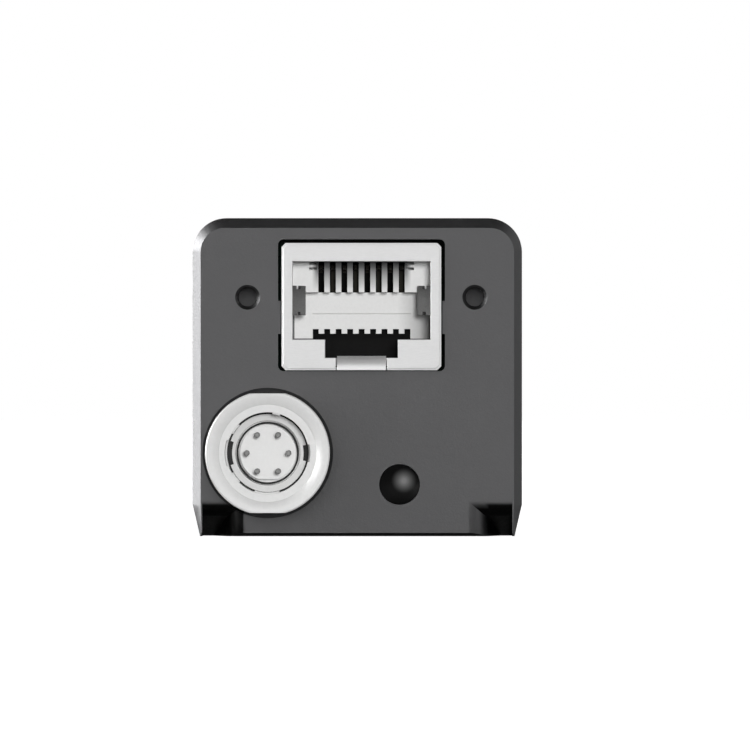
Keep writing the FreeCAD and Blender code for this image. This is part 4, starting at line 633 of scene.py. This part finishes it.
def groove_shade_rings():
    """Painted shade: dark rings deep in the two grooves round the power connector's insulator."""
    low, high = node_box("power_connector_sleeve")
    centre = Vector(((low.x + high.x) / 2, low.y, (low.z + high.z) / 2))
    for name, outer, inner, depth in SHADE_RINGS:
        ring = flat_ring(name, centre + Vector((0, depth, 0)), outer, inner, "seal_rubber")


# ---------------------------------------------------------------- studio
def world_light():
    """White behind the object, a dim room for diffuse light, and for reflections a white wall
    with a brighter panel at the left and a darker flag at the right."""
    world = bpy.data.worlds.new("studio")
    bpy.context.scene.world = world
    world.use_nodes = True
    studio = Graph(world.node_tree)
    studio.tree.nodes.clear()
    rays = studio.node("ShaderNodeLightPath")
    place = studio.node("ShaderNodeTexCoord")
    split = studio.node("ShaderNodeSeparateXYZ")
    studio.join(place.outputs["Generated"], split.inputs[0])
    upright = studio.spread(studio.math("ABSOLUTE", split.outputs["Z"]), 1.0, 0.0,
                            *PANEL_HEIGHT_EDGE)
    left_panel = studio.spread(split.outputs["X"], 0.0, LEFT_PANEL_LEVEL, *LEFT_PANEL_EDGE)
    right_flag = studio.spread(split.outputs["X"], 1.0, RIGHT_FLAG_LEVEL, *RIGHT_FLAG_EDGE)
    gloss = studio.math("MULTIPLY", studio.math("ADD", right_flag, left_panel), upright)

    def background(strength):
        made = studio.node("ShaderNodeBackground")
        made.inputs["Color"].default_value = (1.0, 1.0, 1.0, 1.0)
        made.inputs["Strength"].default_value = strength
        return made

    def choose(ray, otherwise, chosen):
        """The chosen shader for one kind of ray, and the other for all the rest."""
        made = studio.node("ShaderNodeMixShader")
        studio.join(rays.outputs[ray], made.inputs["Fac"])
        studio.join(otherwise.outputs[0], made.inputs[1])
        studio.join(chosen.outputs[0], made.inputs[2])
        return made

    reflected = background(1.0)
    studio.join(gloss, reflected.inputs["Strength"])
    lit = choose("Is Glossy Ray", background(ROOM_LEVEL), reflected)
    output = studio.node("ShaderNodeOutputWorld")
    studio.join(choose("Is Camera Ray", lit, background(1.0)).outputs[0],
                output.inputs["Surface"])


def sun(name, right, up, softness, strength):
    """Soft frontal light, turned to the right of the view and up from it, in degrees."""
    data = bpy.data.lights.new(name, "SUN")
    data.energy = strength
    data.angle = math.radians(softness)
    light = add_object(name, data)
    turn = math.radians(right)
    lift = math.radians(up)
    away = Vector((math.sin(turn) * math.cos(lift), -math.cos(turn) * math.cos(lift),
                   math.sin(lift)))
    light.location = away
    light.rotation_euler = away.to_track_quat("Z", "Y").to_euler()
    light.visible_glossy = False


def floor():
    """White paper under the object, which glows a little for the camera only."""
    mesh = bpy.data.meshes.new("floor")
    mesh.from_pydata([(-FLOOR_HALF, -FLOOR_HALF, 0), (FLOOR_HALF, -FLOOR_HALF, 0),
                      (FLOOR_HALF, FLOOR_HALF, 0), (-FLOOR_HALF, FLOOR_HALF, 0)], [],
                     [(0, 1, 2, 3)])
    plane = add_object("floor", mesh)
    plane.location.z = CAD_BOX[0][2] - FLOOR_DROP
    material = bpy.data.materials.new("floor_paper")
    material.use_nodes = True
    tree = material.node_tree
    shader = tree.nodes["Principled BSDF"]
    shader.inputs["Base Color"].default_value = (0.80, 0.80, 0.80, 1.0)
    shader.inputs["Roughness"].default_value = 0.9
    rays = tree.nodes.new("ShaderNodeLightPath")
    glow = tree.nodes.new("ShaderNodeEmission")
    glow.inputs["Color"].default_value = (1.0, 1.0, 1.0, 1.0)
    add = tree.nodes.new("ShaderNodeAddShader")
    tree.links.new(shader.outputs[0], add.inputs[0])
    tree.links.new(glow.outputs[0], add.inputs[1])
    scale = tree.nodes.new("ShaderNodeMath")
    scale.operation = "MULTIPLY"
    scale.inputs[1].default_value = FLOOR_GLOW
    tree.links.new(rays.outputs["Is Camera Ray"], scale.inputs[0])
    tree.links.new(scale.outputs[0], glow.inputs["Strength"])
    tree.links.new(add.outputs[0], tree.nodes["Material Output"].inputs["Surface"])
    mesh.materials.append(material)


def camera():
    """Long lens square on to the connector panel."""
    data = bpy.data.cameras.new("camera")
    data.sensor_width = 36.0
    data.lens = data.sensor_width * CAMERA_DISTANCE / FRAME_WIDTH
    data.clip_start = 0.05
    data.clip_end = 30.0
    view = add_object("camera", data)
    panel_y = CAD_BOX[0][1] + CONNECTOR_STANDOUT
    view.location = (CAMERA_X, panel_y - CAMERA_DISTANCE, CAMERA_Z)
    view.rotation_euler = (math.radians(90), 0, 0)
    bpy.context.scene.camera = view


dress_nodes()
for housing in ("rear_housing", "front_housing"):
    soften(housing, HOUSING_ROUND)
soften("power_connector_shell", SHELL_ROUND)
groove_shade_rings()
lens_thread()
bond_wires()
world_light()
sun("key", right=2.5, up=2.5, softness=5.0, strength=2.7)
floor()
camera()
bpy.context.scene.view_settings.view_transform = "Standard"
